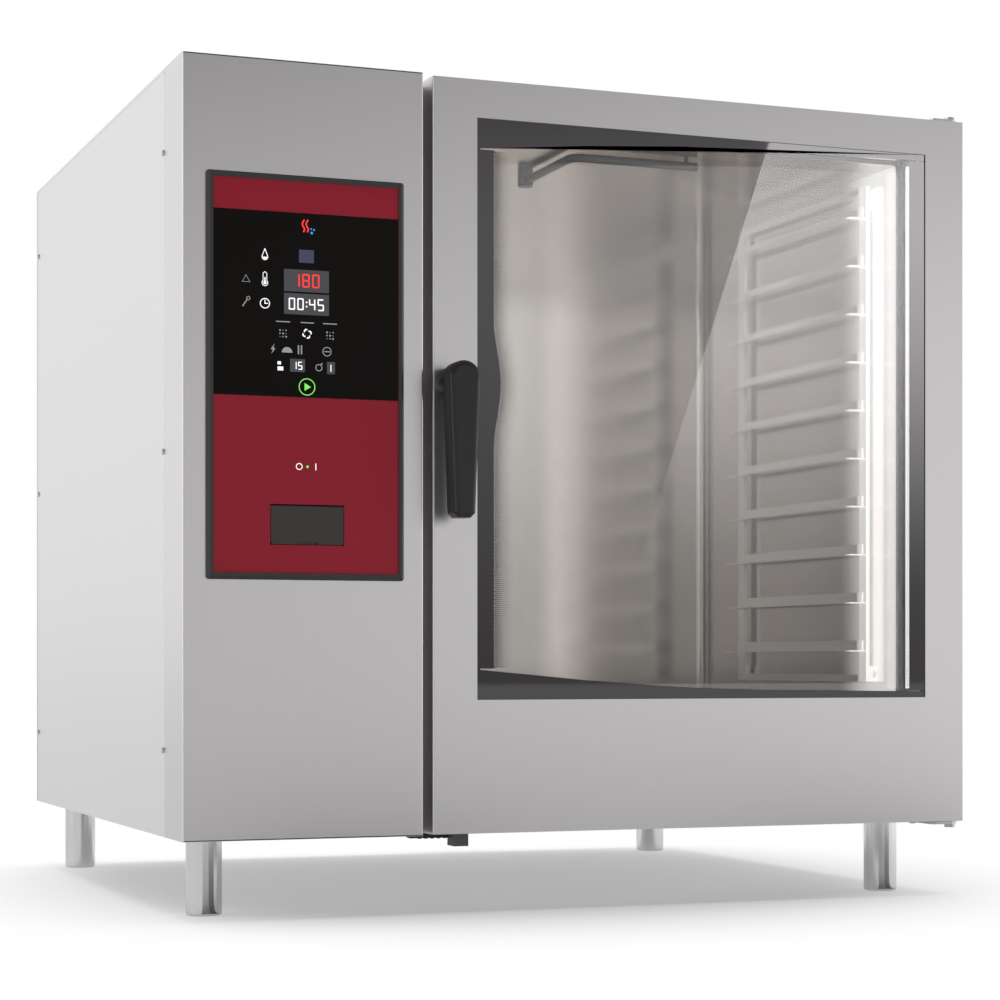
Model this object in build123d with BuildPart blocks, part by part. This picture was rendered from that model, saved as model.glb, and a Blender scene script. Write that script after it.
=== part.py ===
"""Ten-level combi steamer oven, built as separate pieces.

+X runs to the right along the front, +Y to the back, +Z up, in millimetres.
The origin is on the floor, in the middle of the whole oven's outline.
"""
from build123d import *
import os

os.makedirs("parts", exist_ok=True)

# ---------------------------------------------------------------- driving dimensions
WIDTH = 1130          # left side panel to the door's right edge
CASE_WIDTH = 1122     # left side panel to right side panel
DEPTH = 1000          # column front to rear panel
HEIGHT = 990          # casing alone
LEG_HEIGHT = 103      # floor to the casing's underside
SHEET = 1.5           # casing and liner steel
COLUMN_WIDTH = 319    # control column
SIDE_WRAP = 96        # column front folded round the left side
LID_SKIRT = 4         # folded edge of the top cover
BACK_WRAP = 10        # rear panel folded round the sides
FRAME_SETBACK = 78    # column front to the frame behind the door

DOOR_GAP = 15         # column to door
DOOR_SETBACK = 7      # column front to door front
DOOR_DEPTH = 60
WINDOW_LEFT = 62      # width of the door's left stile
WINDOW_RIGHT = 62
WINDOW_TOP = 50
WINDOW_BOTTOM = 175
GLASS_OUT = 5         # outer pane thickness
GLASS_IN = 6          # inner pane thickness
BEND = 2.5            # outside radius of the folded edges

HANDLE_X = 23         # spindle from the door's left edge
HANDLE_Z = 693.6      # spindle above the floor
GRIP_REACH = 64       # grip front ahead of the door face
SPINDLE_R = 6.0
RUN_GAP = 0.05        # radial clearance of a running fit

HINGE_IN = 10         # pin axis from the door's right edge
HINGE_BACK = 21       # pin axis behind the door face
HINGE_PIN_R = 6.0

CAVITY_LEFT = 222     # fan chamber's left wall, from the left side panel
CAVITY_RIGHT = 1060
CAVITY_BACK = 713     # behind the column front
CAVITY_FLOOR = 257.5
CAVITY_TOP = 1038.5
MOUTH_LEFT = 384      # cavity mouth's left edge
BAFFLE = 375.5        # face of the baffle plate
CORNER_R = 18         # rolled rear corners of the liner

RAIL_COUNT = 10
RAIL_PITCH = 70
RAIL_LOW = 352        # lowest rail above the floor
RAIL_HEIGHT = 16
RAIL_LEDGE = 20
RACK_WEB = 1044       # right rack's inner web, from the left side panel
POST_FRONT = 150
POST_REAR = 545
POST_WIDTH = 20
POST_DEPTH = 6
HOOK_DEPTH = 4.5
STUD_R = 5
STUD_LEVELS = (311.0, 1000.0)

FAN_LEVELS = {"lower": 455.0, "upper": 845.0}
FAN_DEPTH = 395
FAN_R = 165
SHAFT_R = 10

BEZEL_LEFT, BEZEL_RIGHT = 30, 291
BEZEL_LOW, BEZEL_HIGH = 433, 947
BEZEL_RIM = 8
FLAP_LEFT, FLAP_RIGHT = 113, 209
FLAP_LOW, FLAP_HIGH = 478, 528

PIPE_REACH = 40       # drain pipe behind the rear panel
CHIMNEY_RISE = 80     # exhaust pipe above the top cover

# ------------------------------------------------------------------ reference places
LEFT = -WIDTH / 2
FRONT = -(DEPTH + PIPE_REACH - (GRIP_REACH - DOOR_SETBACK)) / 2
CASE_RIGHT = LEFT + CASE_WIDTH
REAR = FRONT + DEPTH
BASE = LEG_HEIGHT
TOP = BASE + HEIGHT
COLUMN_RIGHT = LEFT + COLUMN_WIDTH
FRAME = FRONT + FRAME_SETBACK
BAY_BACK = FRONT + SIDE_WRAP

DOOR_L = COLUMN_RIGHT + DOOR_GAP
DOOR_R = LEFT + WIDTH
DOOR_LOW, DOOR_HIGH = BASE + 1, TOP - 1
DOOR_FRONT = FRONT + DOOR_SETBACK
DOOR_BACK = DOOR_FRONT + DOOR_DEPTH
WIN_L, WIN_R = DOOR_L + WINDOW_LEFT, DOOR_R - WINDOW_RIGHT
WIN_LOW, WIN_HIGH = DOOR_LOW + WINDOW_BOTTOM, DOOR_HIGH - WINDOW_TOP
SPINDLE_X = DOOR_L + HANDLE_X
HINGE_X, HINGE_Y = DOOR_R - HINGE_IN, DOOR_FRONT + HINGE_BACK

CAV_L, CAV_R = LEFT + CAVITY_LEFT, LEFT + CAVITY_RIGHT
CAV_BACK = FRONT + CAVITY_BACK
LINER_FRONT = FRAME + SHEET
MOUTH_L = LEFT + MOUTH_LEFT
BAFFLE_X = LEFT + BAFFLE
RACK_MIDDLE = (CAV_R + BAFFLE_X) / 2
FAN_Y = FRONT + FAN_DEPTH


def block(x0, x1, y0, y1, z0, z1, mode=Mode.ADD):
    """A plain box between two corners of the piece being built."""
    with Locations(((x0 + x1) / 2, (y0 + y1) / 2, (z0 + z1) / 2)):
        Box(x1 - x0, y1 - y0, z1 - z0, mode=mode)


def upright(y):
    """A plane that faces the front: its x is X, its y is Z."""
    return Plane(origin=(0, y, 0), x_dir=(1, 0, 0), z_dir=(0, -1, 0))


def sideways(x):
    """A plane that faces the right: its x is Y, its y is Z."""
    return Plane(origin=(x, 0, 0), x_dir=(0, 1, 0), z_dir=(1, 0, 0))


def rod(x, y, z, radius, length, axis, mode=Mode.ADD):
    """A round bar that starts at a point and runs along +X, +Y or +Z."""
    turn = {"X": (0, 90, 0), "Y": (-90, 0, 0), "Z": (0, 0, 0)}[axis]
    with Locations(Location((x, y, z), turn)):
        Cylinder(radius, length, align=(Align.CENTER, Align.CENTER, Align.MIN), mode=mode)


def save(piece, name):
    """Label a finished piece and write its file."""
    piece.part.label = name
    export_step(piece.part, f"parts/{name}.step")


# ------------------------------------------------------------------ casing panels
# Control column front: one folded sheet round the left edge and back beside the door.
with BuildPart() as column_front:
    block(LEFT, COLUMN_RIGHT, FRONT, FRONT + SHEET, BASE, TOP)
    block(LEFT, LEFT + SHEET, FRONT, BAY_BACK, BASE, TOP)
    block(COLUMN_RIGHT - SHEET, COLUMN_RIGHT, FRONT, FRAME, BASE, TOP)
    block(LEFT, COLUMN_RIGHT, FRONT, FRAME, TOP - SHEET, TOP)
    block(LEFT, LEFT + 60, FRONT, BAY_BACK, TOP - SHEET, TOP)
    block(LEFT, COLUMN_RIGHT, FRONT, FRONT + 30, BASE, BASE + SHEET)
    upright_bends = (
        column_front.edges().filter_by(Axis.Z).filter_by_position(Axis.Y, FRONT - 1, FRONT + 0.1)
    )
    fillet(upright_bends, BEND)
    block(LEFT + BEZEL_LEFT + 10, LEFT + BEZEL_RIGHT - 10, FRONT - 1, FRONT + 5,
          BEZEL_LOW + 10, BEZEL_HIGH - 10, Mode.SUBTRACT)
save(column_front, "column_front")

# Side panels: flat sheets with a small fold inward at the front and rear.
side_top = TOP - LID_SKIRT - 0.3
side_rear = REAR - BACK_WRAP - 0.6
with BuildPart() as left_side_panel:
    block(LEFT, LEFT + SHEET, BAY_BACK + 0.8, side_rear, BASE, side_top)
    block(LEFT, LEFT + 12, BAY_BACK + 0.8, BAY_BACK + 0.8 + SHEET, BASE + 6, side_top)
    block(LEFT, LEFT + 12, side_rear - SHEET, side_rear, BASE + 6, side_top)
save(left_side_panel, "left_side_panel")

with BuildPart() as right_side_panel:
    block(CASE_RIGHT - SHEET, CASE_RIGHT, FRAME, side_rear, BASE, side_top)
    block(CASE_RIGHT - 12, CASE_RIGHT, side_rear - SHEET, side_rear, BASE + 6, side_top)
save(right_side_panel, "right_side_panel")

# Top cover: a shallow lid whose edge folds down over the side and rear panels.
EXHAUST_R, RELIEF_R = 30, 20
EXHAUST_AT = (LEFT + 300, FRONT + 600)
RELIEF_AT = (LEFT + 300, FRONT + 500)
with BuildPart() as top_panel:
    with BuildSketch(Plane.XY.offset(TOP - SHEET)):
        with BuildLine():
            Polyline((LEFT, BAY_BACK + 0.8), (LEFT + 60, BAY_BACK + 0.8), (LEFT + 60, FRAME + 0.8),
                     (CASE_RIGHT, FRAME + 0.8), (CASE_RIGHT, REAR), (LEFT, REAR), close=True)
        make_face()
        with Locations(EXHAUST_AT):
            Circle(EXHAUST_R + 0.5, mode=Mode.SUBTRACT)
        with Locations(RELIEF_AT):
            Circle(RELIEF_R + 0.5, mode=Mode.SUBTRACT)
    extrude(amount=SHEET)
    block(LEFT, LEFT + SHEET, BAY_BACK + 0.8, REAR, TOP - LID_SKIRT, TOP)
    block(CASE_RIGHT - SHEET, CASE_RIGHT, FRAME + 0.8, REAR, TOP - LID_SKIRT, TOP)
    block(LEFT, CASE_RIGHT, REAR - SHEET, REAR, TOP - LID_SKIRT, TOP)
save(top_panel, "top_panel")

# Rear panel: wraps 10 mm round both sides, louvred behind the electrics.
DRAIN_Z = 165
DRAIN_R = 25
DRAIN_X = LEFT + 716
SERVICE_Z = 190
GLAND_X = LEFT + 55
VALVE_X = {"water_valve_cold": LEFT + 120, "water_valve_soft": LEFT + 185}
INLET_R = 13.2
GLAND_R = 20
with BuildPart() as rear_panel:
    block(LEFT, CASE_RIGHT, REAR - SHEET, REAR, BASE, TOP - LID_SKIRT - 0.3)
    block(LEFT, LEFT + SHEET, REAR - BACK_WRAP, REAR, BASE, side_top)
    block(CASE_RIGHT - SHEET, CASE_RIGHT, REAR - BACK_WRAP, REAR, BASE, side_top)
    with BuildSketch(upright(REAR)):
        with Locations((LEFT + 160, 720)):
            with GridLocations(110, 22, 2, 12):
                SlotOverall(90, 8)
        with Locations((LEFT + 930, 180)):
            with GridLocations(110, 22, 3, 3):
                SlotOverall(90, 8)
        with Locations((DRAIN_X, DRAIN_Z)):
            Circle(DRAIN_R + 1)
        with Locations((GLAND_X, SERVICE_Z)):
            Circle(GLAND_R - 4)
        with Locations(*[(x, SERVICE_Z) for x in VALVE_X.values()]):
            Circle(INLET_R + 0.5)
    extrude(amount=5, both=True, mode=Mode.SUBTRACT)
save(rear_panel, "rear_panel")

# Base pan: carries the legs; slotted under the electrics for cooling air.
PAN = 3
HOSE_X, HOSE_Y = LEFT + 326, FRONT + 95
with BuildPart() as base_pan:
    pan_l, pan_mid, pan_r = LEFT + SHEET + 0.3, COLUMN_RIGHT - SHEET - 0.3, CASE_RIGHT - SHEET - 0.3
    block(pan_l, pan_r, BAY_BACK + 3, REAR - SHEET - 0.3, BASE, BASE + PAN)
    block(pan_l, pan_mid, FRONT + 31, BAY_BACK + 3, BASE, BASE + PAN)
    block(pan_mid, pan_r, LINER_FRONT + 0.3, BAY_BACK + 3, BASE, BASE + PAN)
    with BuildSketch(Plane.XY.offset(BASE)):
        with Locations((LEFT + 165, FRONT + 300)):
            with GridLocations(30, 110, 6, 3):
                SlotOverall(90, 8, rotation=90)
        with Locations((HOSE_X, HOSE_Y)):
            Circle(7)
    extrude(amount=PAN, mode=Mode.SUBTRACT)
save(base_pan, "base_pan")

# Frame behind the door: a flat sheet round the cavity mouth.
with BuildPart() as front_frame:
    with BuildSketch(upright(FRAME)):
        with BuildLine():
            Polyline((COLUMN_RIGHT - SHEET, BASE), (CASE_RIGHT - SHEET - 0.2, BASE),
                     (CASE_RIGHT - SHEET - 0.2, TOP - SHEET - 0.2),
                     (COLUMN_RIGHT - SHEET, TOP - SHEET - 0.2), close=True)
        make_face()
        with Locations(((MOUTH_L + CAV_R) / 2, (CAVITY_FLOOR + CAVITY_TOP) / 2)):
            RectangleRounded(CAV_R - MOUTH_L, CAVITY_TOP - CAVITY_FLOOR, 6, mode=Mode.SUBTRACT)
    extrude(amount=-SHEET)
save(front_frame, "front_frame")

# ------------------------------------------------------------------ cavity liner
cavity_mid_x = (CAV_L + CAV_R) / 2
cavity_width = CAV_R - CAV_L
wall_rear = CAV_BACK - CORNER_R

# Rear wall: rolled vertical corners, and two pressed lines that stiffen the sheet.
PRESS_DEPTH = 0.8
PRESS_WIDTH = 2.0
TUB_DEPTH = 200
PRESSED_LINES = [(652, 361, 968, 12), (368, 506, 829, 28)]   # width, low, high, corner radius
with BuildPart() as liner_back:
    with BuildSketch(Plane.XY.offset(CAVITY_FLOOR)):
        with Locations((cavity_mid_x, CAV_BACK - TUB_DEPTH / 2)):
            RectangleRounded(cavity_width + 2 * SHEET, TUB_DEPTH + 2 * SHEET, CORNER_R + SHEET)
            RectangleRounded(cavity_width, TUB_DEPTH, CORNER_R, mode=Mode.SUBTRACT)
        with Locations((cavity_mid_x, wall_rear)):
            Rectangle(cavity_width + 20, TUB_DEPTH, align=(Align.CENTER, Align.MAX), mode=Mode.SUBTRACT)
    extrude(amount=CAVITY_TOP - CAVITY_FLOOR)
    with BuildSketch(upright(CAV_BACK)):
        for width, low, high, corner in PRESSED_LINES:
            with Locations((RACK_MIDDLE, (low + high) / 2)):
                RectangleRounded(width, high - low, corner)
                RectangleRounded(width - 2 * PRESS_WIDTH, high - low - 2 * PRESS_WIDTH,
                                 corner - PRESS_WIDTH, mode=Mode.SUBTRACT)
    extrude(amount=-PRESS_DEPTH, mode=Mode.SUBTRACT)
save(liner_back, "liner_back")

# Side walls of the liner. The left one carries the fans and is hidden by the baffle plate.
with BuildPart() as liner_right:
    block(CAV_R, CAV_R + SHEET, LINER_FRONT, wall_rear, CAVITY_FLOOR, CAVITY_TOP)
save(liner_right, "liner_right")

SHAFT_HOLE_R = SHAFT_R + 3
with BuildPart() as liner_left:
    block(CAV_L - SHEET, CAV_L, LINER_FRONT, wall_rear, CAVITY_FLOOR, CAVITY_TOP)
    with BuildSketch(sideways(CAV_L)):
        with Locations(*[(FAN_Y, z) for z in FAN_LEVELS.values()]):
            Circle(SHAFT_HOLE_R)
    extrude(amount=-SHEET, mode=Mode.SUBTRACT)
save(liner_left, "liner_left")

# Ceiling and floor sheets close the tub; the floor has the drain, the ceiling both vents.
liner_rear = CAV_BACK + SHEET
with BuildPart() as liner_ceiling:
    block(CAV_L - SHEET, CAV_R + SHEET, LINER_FRONT, liner_rear, CAVITY_TOP, CAVITY_TOP + SHEET)
    with BuildSketch(Plane.XY.offset(CAVITY_TOP)):
        with Locations(EXHAUST_AT):
            Circle(EXHAUST_R - SHEET)
        with Locations(RELIEF_AT):
            Circle(RELIEF_R - SHEET)
    extrude(amount=SHEET, mode=Mode.SUBTRACT)
save(liner_ceiling, "liner_ceiling")

DRAIN_Y = FRONT + 400
with BuildPart() as liner_floor:
    block(CAV_L - SHEET, CAV_R + SHEET, LINER_FRONT, liner_rear, CAVITY_FLOOR - SHEET, CAVITY_FLOOR)
    with BuildSketch(Plane.XY.offset(CAVITY_FLOOR)):
        with Locations((DRAIN_X, DRAIN_Y)):
            Circle(DRAIN_R - SHEET)
    extrude(amount=-SHEET, mode=Mode.SUBTRACT)
save(liner_floor, "liner_floor")

# Drain strainer: a slotted disc that drops on the drain hole.
with BuildPart() as drain_grate:
    with BuildSketch(Plane.XY.offset(CAVITY_FLOOR)):
        with Locations((DRAIN_X, DRAIN_Y)):
            Circle(45)
            with PolarLocations(28, 12):
                SlotOverall(22, 5, mode=Mode.SUBTRACT)
            with PolarLocations(9, 6):
                Circle(2.5, mode=Mode.SUBTRACT)
    extrude(amount=2)
    fillet(drain_grate.faces().sort_by(Axis.Z)[-1].outer_wire().edges(), 1)
save(drain_grate, "drain_grate")

# Insulation: mineral wool boards round the top, right, rear and underside of the liner.
WOOL_TOP, WOOL_SIDE, WOOL_REAR, WOOL_LOW = 48, 55, 50, 60
wool_low = CAVITY_FLOOR - SHEET - WOOL_LOW
with BuildPart() as insulation_wrap:
    block(CAV_L, CAV_R + WOOL_SIDE, FRAME + 4, liner_rear + WOOL_REAR, wool_low,
          CAVITY_TOP + SHEET + WOOL_TOP)
    block(CAV_L - 10, CAV_R + SHEET, FRAME, liner_rear, CAVITY_FLOOR - SHEET, CAVITY_TOP + SHEET,
          Mode.SUBTRACT)
    rod(*EXHAUST_AT, CAVITY_TOP, EXHAUST_R + 1, 100, "Z", Mode.SUBTRACT)
    rod(*RELIEF_AT, CAVITY_TOP, RELIEF_R + 1, 100, "Z", Mode.SUBTRACT)
    rod(DRAIN_X, DRAIN_Y, wool_low - 1, DRAIN_R + 6, 100, "Z", Mode.SUBTRACT)
save(insulation_wrap, "insulation_wrap")

# Door seal: a soft silicone ring on the frame, ahead of the cavity mouth.
SEAL_W = 15
SEAL_GAP = 2
seal_depth = FRAME - DOOR_BACK - 0.3
seal_l, seal_r = MOUTH_L - SEAL_GAP - SEAL_W, CAV_R + SEAL_GAP + 2 + SEAL_W
seal_low, seal_high = CAVITY_FLOOR - 5 - SEAL_W, CAVITY_TOP + 5 + SEAL_W
with BuildPart() as door_gasket:
    with BuildSketch(upright(FRAME)):
        with Locations(((seal_l + seal_r) / 2, (seal_low + seal_high) / 2)):
            RectangleRounded(seal_r - seal_l, seal_high - seal_low, 22)
            RectangleRounded(seal_r - seal_l - 2 * SEAL_W, seal_high - seal_low - 2 * SEAL_W, 8,
                             mode=Mode.SUBTRACT)
    extrude(amount=seal_depth)
    fillet(door_gasket.faces().sort_by(Axis.Y)[0].edges(), 4)
save(door_gasket, "door_gasket")

# ------------------------------------------------------------------ air side: baffle, fans, heaters
PERFORATION_RINGS = [(26, 6), (52, 12), (78, 18), (104, 24)]   # pitch radius, holes
with BuildPart() as baffle_plate:
    block(BAFFLE_X - SHEET, BAFFLE_X, FRONT + 100, FRONT + 690, 285, 1012)
    block(BAFFLE_X - 15, BAFFLE_X, FRONT + 100, FRONT + 100 + SHEET, 285, 1012)
    block(BAFFLE_X - 15, BAFFLE_X, FRONT + 690 - SHEET, FRONT + 690, 285, 1012)
    with BuildSketch(sideways(BAFFLE_X)):
        for level in FAN_LEVELS.values():
            with Locations((FAN_Y, level)):
                Circle(8)
                for ring, count in PERFORATION_RINGS:
                    with PolarLocations(ring, count):
                        Circle(8)
    extrude(amount=-SHEET, mode=Mode.SUBTRACT)
save(baffle_plate, "baffle_plate")

MOTOR_R = 68
MOTOR_LENGTH = 120
MOTOR_FLANGE = 6
BLADES = 18
BLADE_DEPTH = 84
BACK_PLATE = CAV_L + 24
for name, level in FAN_LEVELS.items():
    # Motor: finned body flanged to the outside of the fan chamber's wall.
    flange = CAV_L - SHEET
    with BuildPart() as motor:
        block(flange - MOTOR_FLANGE, flange, FAN_Y - 85, FAN_Y + 85, level - 85, level + 85)
        rod(flange - MOTOR_FLANGE - MOTOR_LENGTH, FAN_Y, level, MOTOR_R - 8, MOTOR_LENGTH, "X")
        for i in range(9):
            rod(flange - MOTOR_FLANGE - 14 - 12 * i, FAN_Y, level, MOTOR_R, 5, "X")
        rod(flange - 50, FAN_Y, level, SHAFT_R + RUN_GAP, 60, "X", Mode.SUBTRACT)
    save(motor, f"fan_motor_{name}")

    # Radial fan: shaft, hub, back plate, straight blades and a front ring.
    with BuildPart() as fan:
        rod(flange - 49, FAN_Y, level, SHAFT_R, BACK_PLATE - flange + 49, "X")
        rod(BACK_PLATE, FAN_Y, level, FAN_R, 2, "X")
        rod(BACK_PLATE + 2, FAN_Y, level, 24, 34, "X")
        with BuildSketch(sideways(BACK_PLATE + 2)):
            with Locations((FAN_Y, level)):
                with PolarLocations(FAN_R - 29, BLADES):
                    Rectangle(52, 2)
        extrude(amount=BLADE_DEPTH)
        with BuildSketch(sideways(BACK_PLATE + 2 + BLADE_DEPTH)):
            with Locations((FAN_Y, level)):
                Circle(FAN_R)
                Circle(FAN_R - 58, mode=Mode.SUBTRACT)
        extrude(amount=2)
    save(fan, f"fan_{name}")

    # Heater: three rings of sheathed element round the fan, joined by two legs to a flange.
    ring_r, element_r = FAN_R + 18, 4
    with BuildPart() as heater:
        for reach in (36, 66, 96):
            with Locations(Location((CAV_L + reach, FAN_Y, level), (0, 90, 0))):
                Torus(ring_r, element_r)
        for offset in (-12, 12):
            leg_z = level - (ring_r ** 2 - offset ** 2) ** 0.5
            rod(CAV_L, FAN_Y + offset, leg_z, element_r - 1, 96, "X")
        block(CAV_L, CAV_L + 5, FAN_Y - 30, FAN_Y + 30, level - ring_r - 11, level - ring_r + 14)
    save(heater, f"heating_element_{name}")

# Wash pipe: bent tube under the ceiling that sprays the cavity clean.
WASH_R = 6
wash_z = CAVITY_TOP - 10
wash_turn = (LEFT + 585, FRONT + 141)
wash_end = (LEFT + 587, FRONT + 325)
with BuildPart() as wash_pipe:
    with BuildLine(Plane.XY.offset(wash_z)):
        FilletPolyline((LEFT + 776, FRONT + 144), wash_turn, wash_end, radius=16)
    with BuildSketch(Plane(origin=(LEFT + 776, FRONT + 144, wash_z), z_dir=(-1, 0, 0))):
        Circle(WASH_R)
    sweep()
    rod(*wash_end, CAVITY_TOP - 18, 11, 18, "Z")
    rod(LEFT + 760, FRONT + 144, CAVITY_TOP - 10, 3, 10, "Z")
save(wash_pipe, "wash_pipe")

# ------------------------------------------------------------------ tray racks
# Each rack is two posts, ten folded rails and hooks; it lifts off studs on the wall.
RACK_TOP = 1020
RACK_LOW = 300
POST_X = LEFT + RACK_WEB + SHEET
HOOK_X = POST_X + POST_DEPTH
rails = [RAIL_LOW + RAIL_PITCH * i for i in range(RAIL_COUNT)]
with BuildPart() as rack_right:
    for post in (POST_FRONT, POST_REAR):
        y = FRONT + post
        block(POST_X, POST_X + POST_DEPTH, y - POST_WIDTH / 2, y + POST_WIDTH / 2, RACK_LOW, RACK_TOP)
        for level in STUD_LEVELS:
            block(HOOK_X, HOOK_X + HOOK_DEPTH, y - 12, y + 12, level - 11, level + 12)
            block(HOOK_X, HOOK_X + HOOK_DEPTH, y - STUD_R - 0.3, y + STUD_R + 0.3, level - 12, level,
                  Mode.SUBTRACT)
            rod(HOOK_X, y, level, STUD_R + 0.3, HOOK_DEPTH, "X", Mode.SUBTRACT)
    block(POST_X, POST_X + POST_DEPTH, FRONT + POST_FRONT, FRONT + POST_REAR, RACK_TOP - 10, RACK_TOP)
    block(POST_X, POST_X + POST_DEPTH, FRONT + POST_FRONT, FRONT + POST_REAR, RACK_LOW, RACK_LOW + 10)
    for level in rails:
        low, high = level - RAIL_HEIGHT / 2, level + RAIL_HEIGHT / 2
        block(POST_X - SHEET, POST_X, FRONT + POST_FRONT, FRONT + POST_REAR + 10, low, high)
        block(POST_X - SHEET - RAIL_LEDGE, POST_X, FRONT + POST_FRONT, FRONT + POST_REAR + 10,
              low, low + SHEET)
save(rack_right, "rack_right")

with BuildPart() as rack_left:
    add(rack_right.part)
    mirror(about=Plane.YZ.offset(RACK_MIDDLE), mode=Mode.REPLACE)
save(rack_left, "rack_left")

# Studs welded to the right wall and to the baffle plate.
STUD_LENGTH = 8
with BuildPart() as rack_studs:
    for post in (POST_FRONT, POST_REAR):
        for level in STUD_LEVELS:
            rod(CAV_R - STUD_LENGTH, FRONT + post, level, STUD_R, STUD_LENGTH, "X")
            rod(BAFFLE_X, FRONT + post, level, STUD_R, STUD_LENGTH, "X")
save(rack_studs, "rack_studs")

# ------------------------------------------------------------------ control panel
bezel_x = LEFT + (BEZEL_LEFT + BEZEL_RIGHT) / 2
bezel_z = (BEZEL_LOW + BEZEL_HIGH) / 2
bezel_w, bezel_h = BEZEL_RIGHT - BEZEL_LEFT, BEZEL_HIGH - BEZEL_LOW
BEZEL_PROUD = 7
BEZEL_TUCK = 10
FASCIA_FRONT = FRONT - 5.4
FASCIA_BACK = FRONT - 1
with BuildPart() as control_bezel:
    with BuildSketch(upright(FRONT)):
        with Locations((bezel_x, bezel_z)):
            RectangleRounded(bezel_w, bezel_h, 4)
    extrude(amount=BEZEL_PROUD)
    chamfer(control_bezel.faces().sort_by(Axis.Y)[0].edges(), 4)
    with BuildSketch(upright(FRONT)):
        with Locations((bezel_x, bezel_z)):
            RectangleRounded(bezel_w - 21, bezel_h - 21, 3)
    extrude(amount=-BEZEL_TUCK)
    with BuildSketch(upright(FRONT - BEZEL_PROUD)):
        with Locations((bezel_x, bezel_z)):
            RectangleRounded(bezel_w - 2 * BEZEL_RIM, bezel_h - 2 * BEZEL_RIM, 2)
    extrude(amount=-(BEZEL_PROUD + FASCIA_BACK - FRONT), mode=Mode.SUBTRACT)
    with BuildSketch(upright(FASCIA_BACK)):
        with Locations((bezel_x, bezel_z)):
            RectangleRounded(bezel_w - 40, bezel_h - 40, 3)
    extrude(amount=-(BEZEL_TUCK + 1), mode=Mode.SUBTRACT)
save(control_bezel, "control_bezel")

# Printed fascia with a cut-out for the port cover and bores for its pin.
FLAP_GAP = 0.8
PIN_R = 1.5
KNUCKLE_R = 2.2
flap_x = LEFT + (FLAP_LEFT + FLAP_RIGHT) / 2
flap_z = (FLAP_LOW + FLAP_HIGH) / 2
flap_w, flap_h = FLAP_RIGHT - FLAP_LEFT, FLAP_HIGH - FLAP_LOW
pin_y = FASCIA_FRONT + KNUCKLE_R
pin_z = FLAP_HIGH - KNUCKLE_R
PIN_END = 3
with BuildPart() as control_fascia:
    with BuildSketch(upright(FASCIA_FRONT)):
        with Locations((bezel_x, bezel_z)):
            RectangleRounded(bezel_w - 2 * BEZEL_RIM, bezel_h - 2 * BEZEL_RIM, 2)
        with Locations((flap_x, flap_z)):
            Rectangle(flap_w + 2 * FLAP_GAP, flap_h + 2 * FLAP_GAP, mode=Mode.SUBTRACT)
    extrude(amount=-(FASCIA_BACK - FASCIA_FRONT))
    rod(flap_x - flap_w / 2 - PIN_END - 0.5, pin_y, pin_z, PIN_R + RUN_GAP, flap_w + 2 * PIN_END + 1, "X",
        Mode.SUBTRACT)
save(control_fascia, "control_fascia")

# Port cover: hangs from a pin along its rounded top edge; a finger notch below.
with BuildPart() as usb_flap:
    block(flap_x - flap_w / 2, flap_x + flap_w / 2, FASCIA_FRONT, FASCIA_FRONT + 2 * KNUCKLE_R,
          FLAP_LOW, pin_z)
    fillet(usb_flap.edges().filter_by(Axis.Y).group_by(Axis.Z)[0], 3)
    rod(flap_x - flap_w / 2, pin_y, pin_z, KNUCKLE_R, flap_w, "X")
    rod(flap_x - flap_w / 2 - PIN_END, pin_y, pin_z, PIN_R, flap_w + 2 * PIN_END, "X")
    with BuildSketch(upright(FASCIA_FRONT)):
        with Locations((flap_x, FLAP_LOW)):
            SlotOverall(26, 7)
    extrude(amount=-2, mode=Mode.SUBTRACT)
save(usb_flap, "usb_flap")

# Port housing: a shallow tray behind the cut-out with a memory-stick port in its floor.
tray_l, tray_r = flap_x - flap_w / 2 - 5, flap_x + flap_w / 2 + 5
tray_back = FASCIA_BACK + 20
with BuildPart() as usb_socket:
    block(tray_l, tray_r, FASCIA_BACK, tray_back, FLAP_LOW - 5, FLAP_HIGH + 5)
    block(tray_l + 4, tray_r - 4, FASCIA_BACK, FASCIA_BACK + 12, FLAP_LOW - 1, FLAP_HIGH + 1, Mode.SUBTRACT)
    block(flap_x - 11, flap_x + 11, FASCIA_BACK + 4, FASCIA_BACK + 12, flap_z - 9, flap_z + 9)
    block(flap_x - 6.5, flap_x + 6.5, FASCIA_BACK + 4, FASCIA_BACK + 17, flap_z - 2.7, flap_z + 2.7,
          Mode.SUBTRACT)
save(usb_socket, "usb_socket")

# Display module and main board behind the fascia.
with BuildPart() as display_module:
    block(LEFT + 90, LEFT + 232, FASCIA_BACK, FASCIA_BACK + 12, 676, 880)
save(display_module, "display_module")

BOARD_Y = FRONT + 34
with BuildPart() as control_board:
    block(LEFT + 60, LEFT + 262, BOARD_Y, BOARD_Y + 1.6, 470, 920)
    with Locations((LEFT + 161, BOARD_Y + 1.6 + 5, 600)):
        Box(40, 10, 40)
    with Locations((LEFT + 161, BOARD_Y + 9.6, 850)):
        with GridLocations(44, 0, 3, 1):
            Box(24, 16, 30)
    for x in (LEFT + 68, LEFT + 254):
        for z in (480, 910):
            rod(x, BOARD_Y - 10, z, 3, 10, "Y")
save(control_board, "control_board")

# Contactors on a rail, screwed to the left side of the electrics bay.
with BuildPart() as contactor_rail:
    block(LEFT + 14, LEFT + 20, FRONT + 500, FRONT + 860, 430, 465)
    for i in range(4):
        block(LEFT + 20, LEFT + 90, FRONT + 520 + 85 * i, FRONT + 575 + 85 * i, 405, 490)
save(contactor_rail, "contactor_rail")

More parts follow.
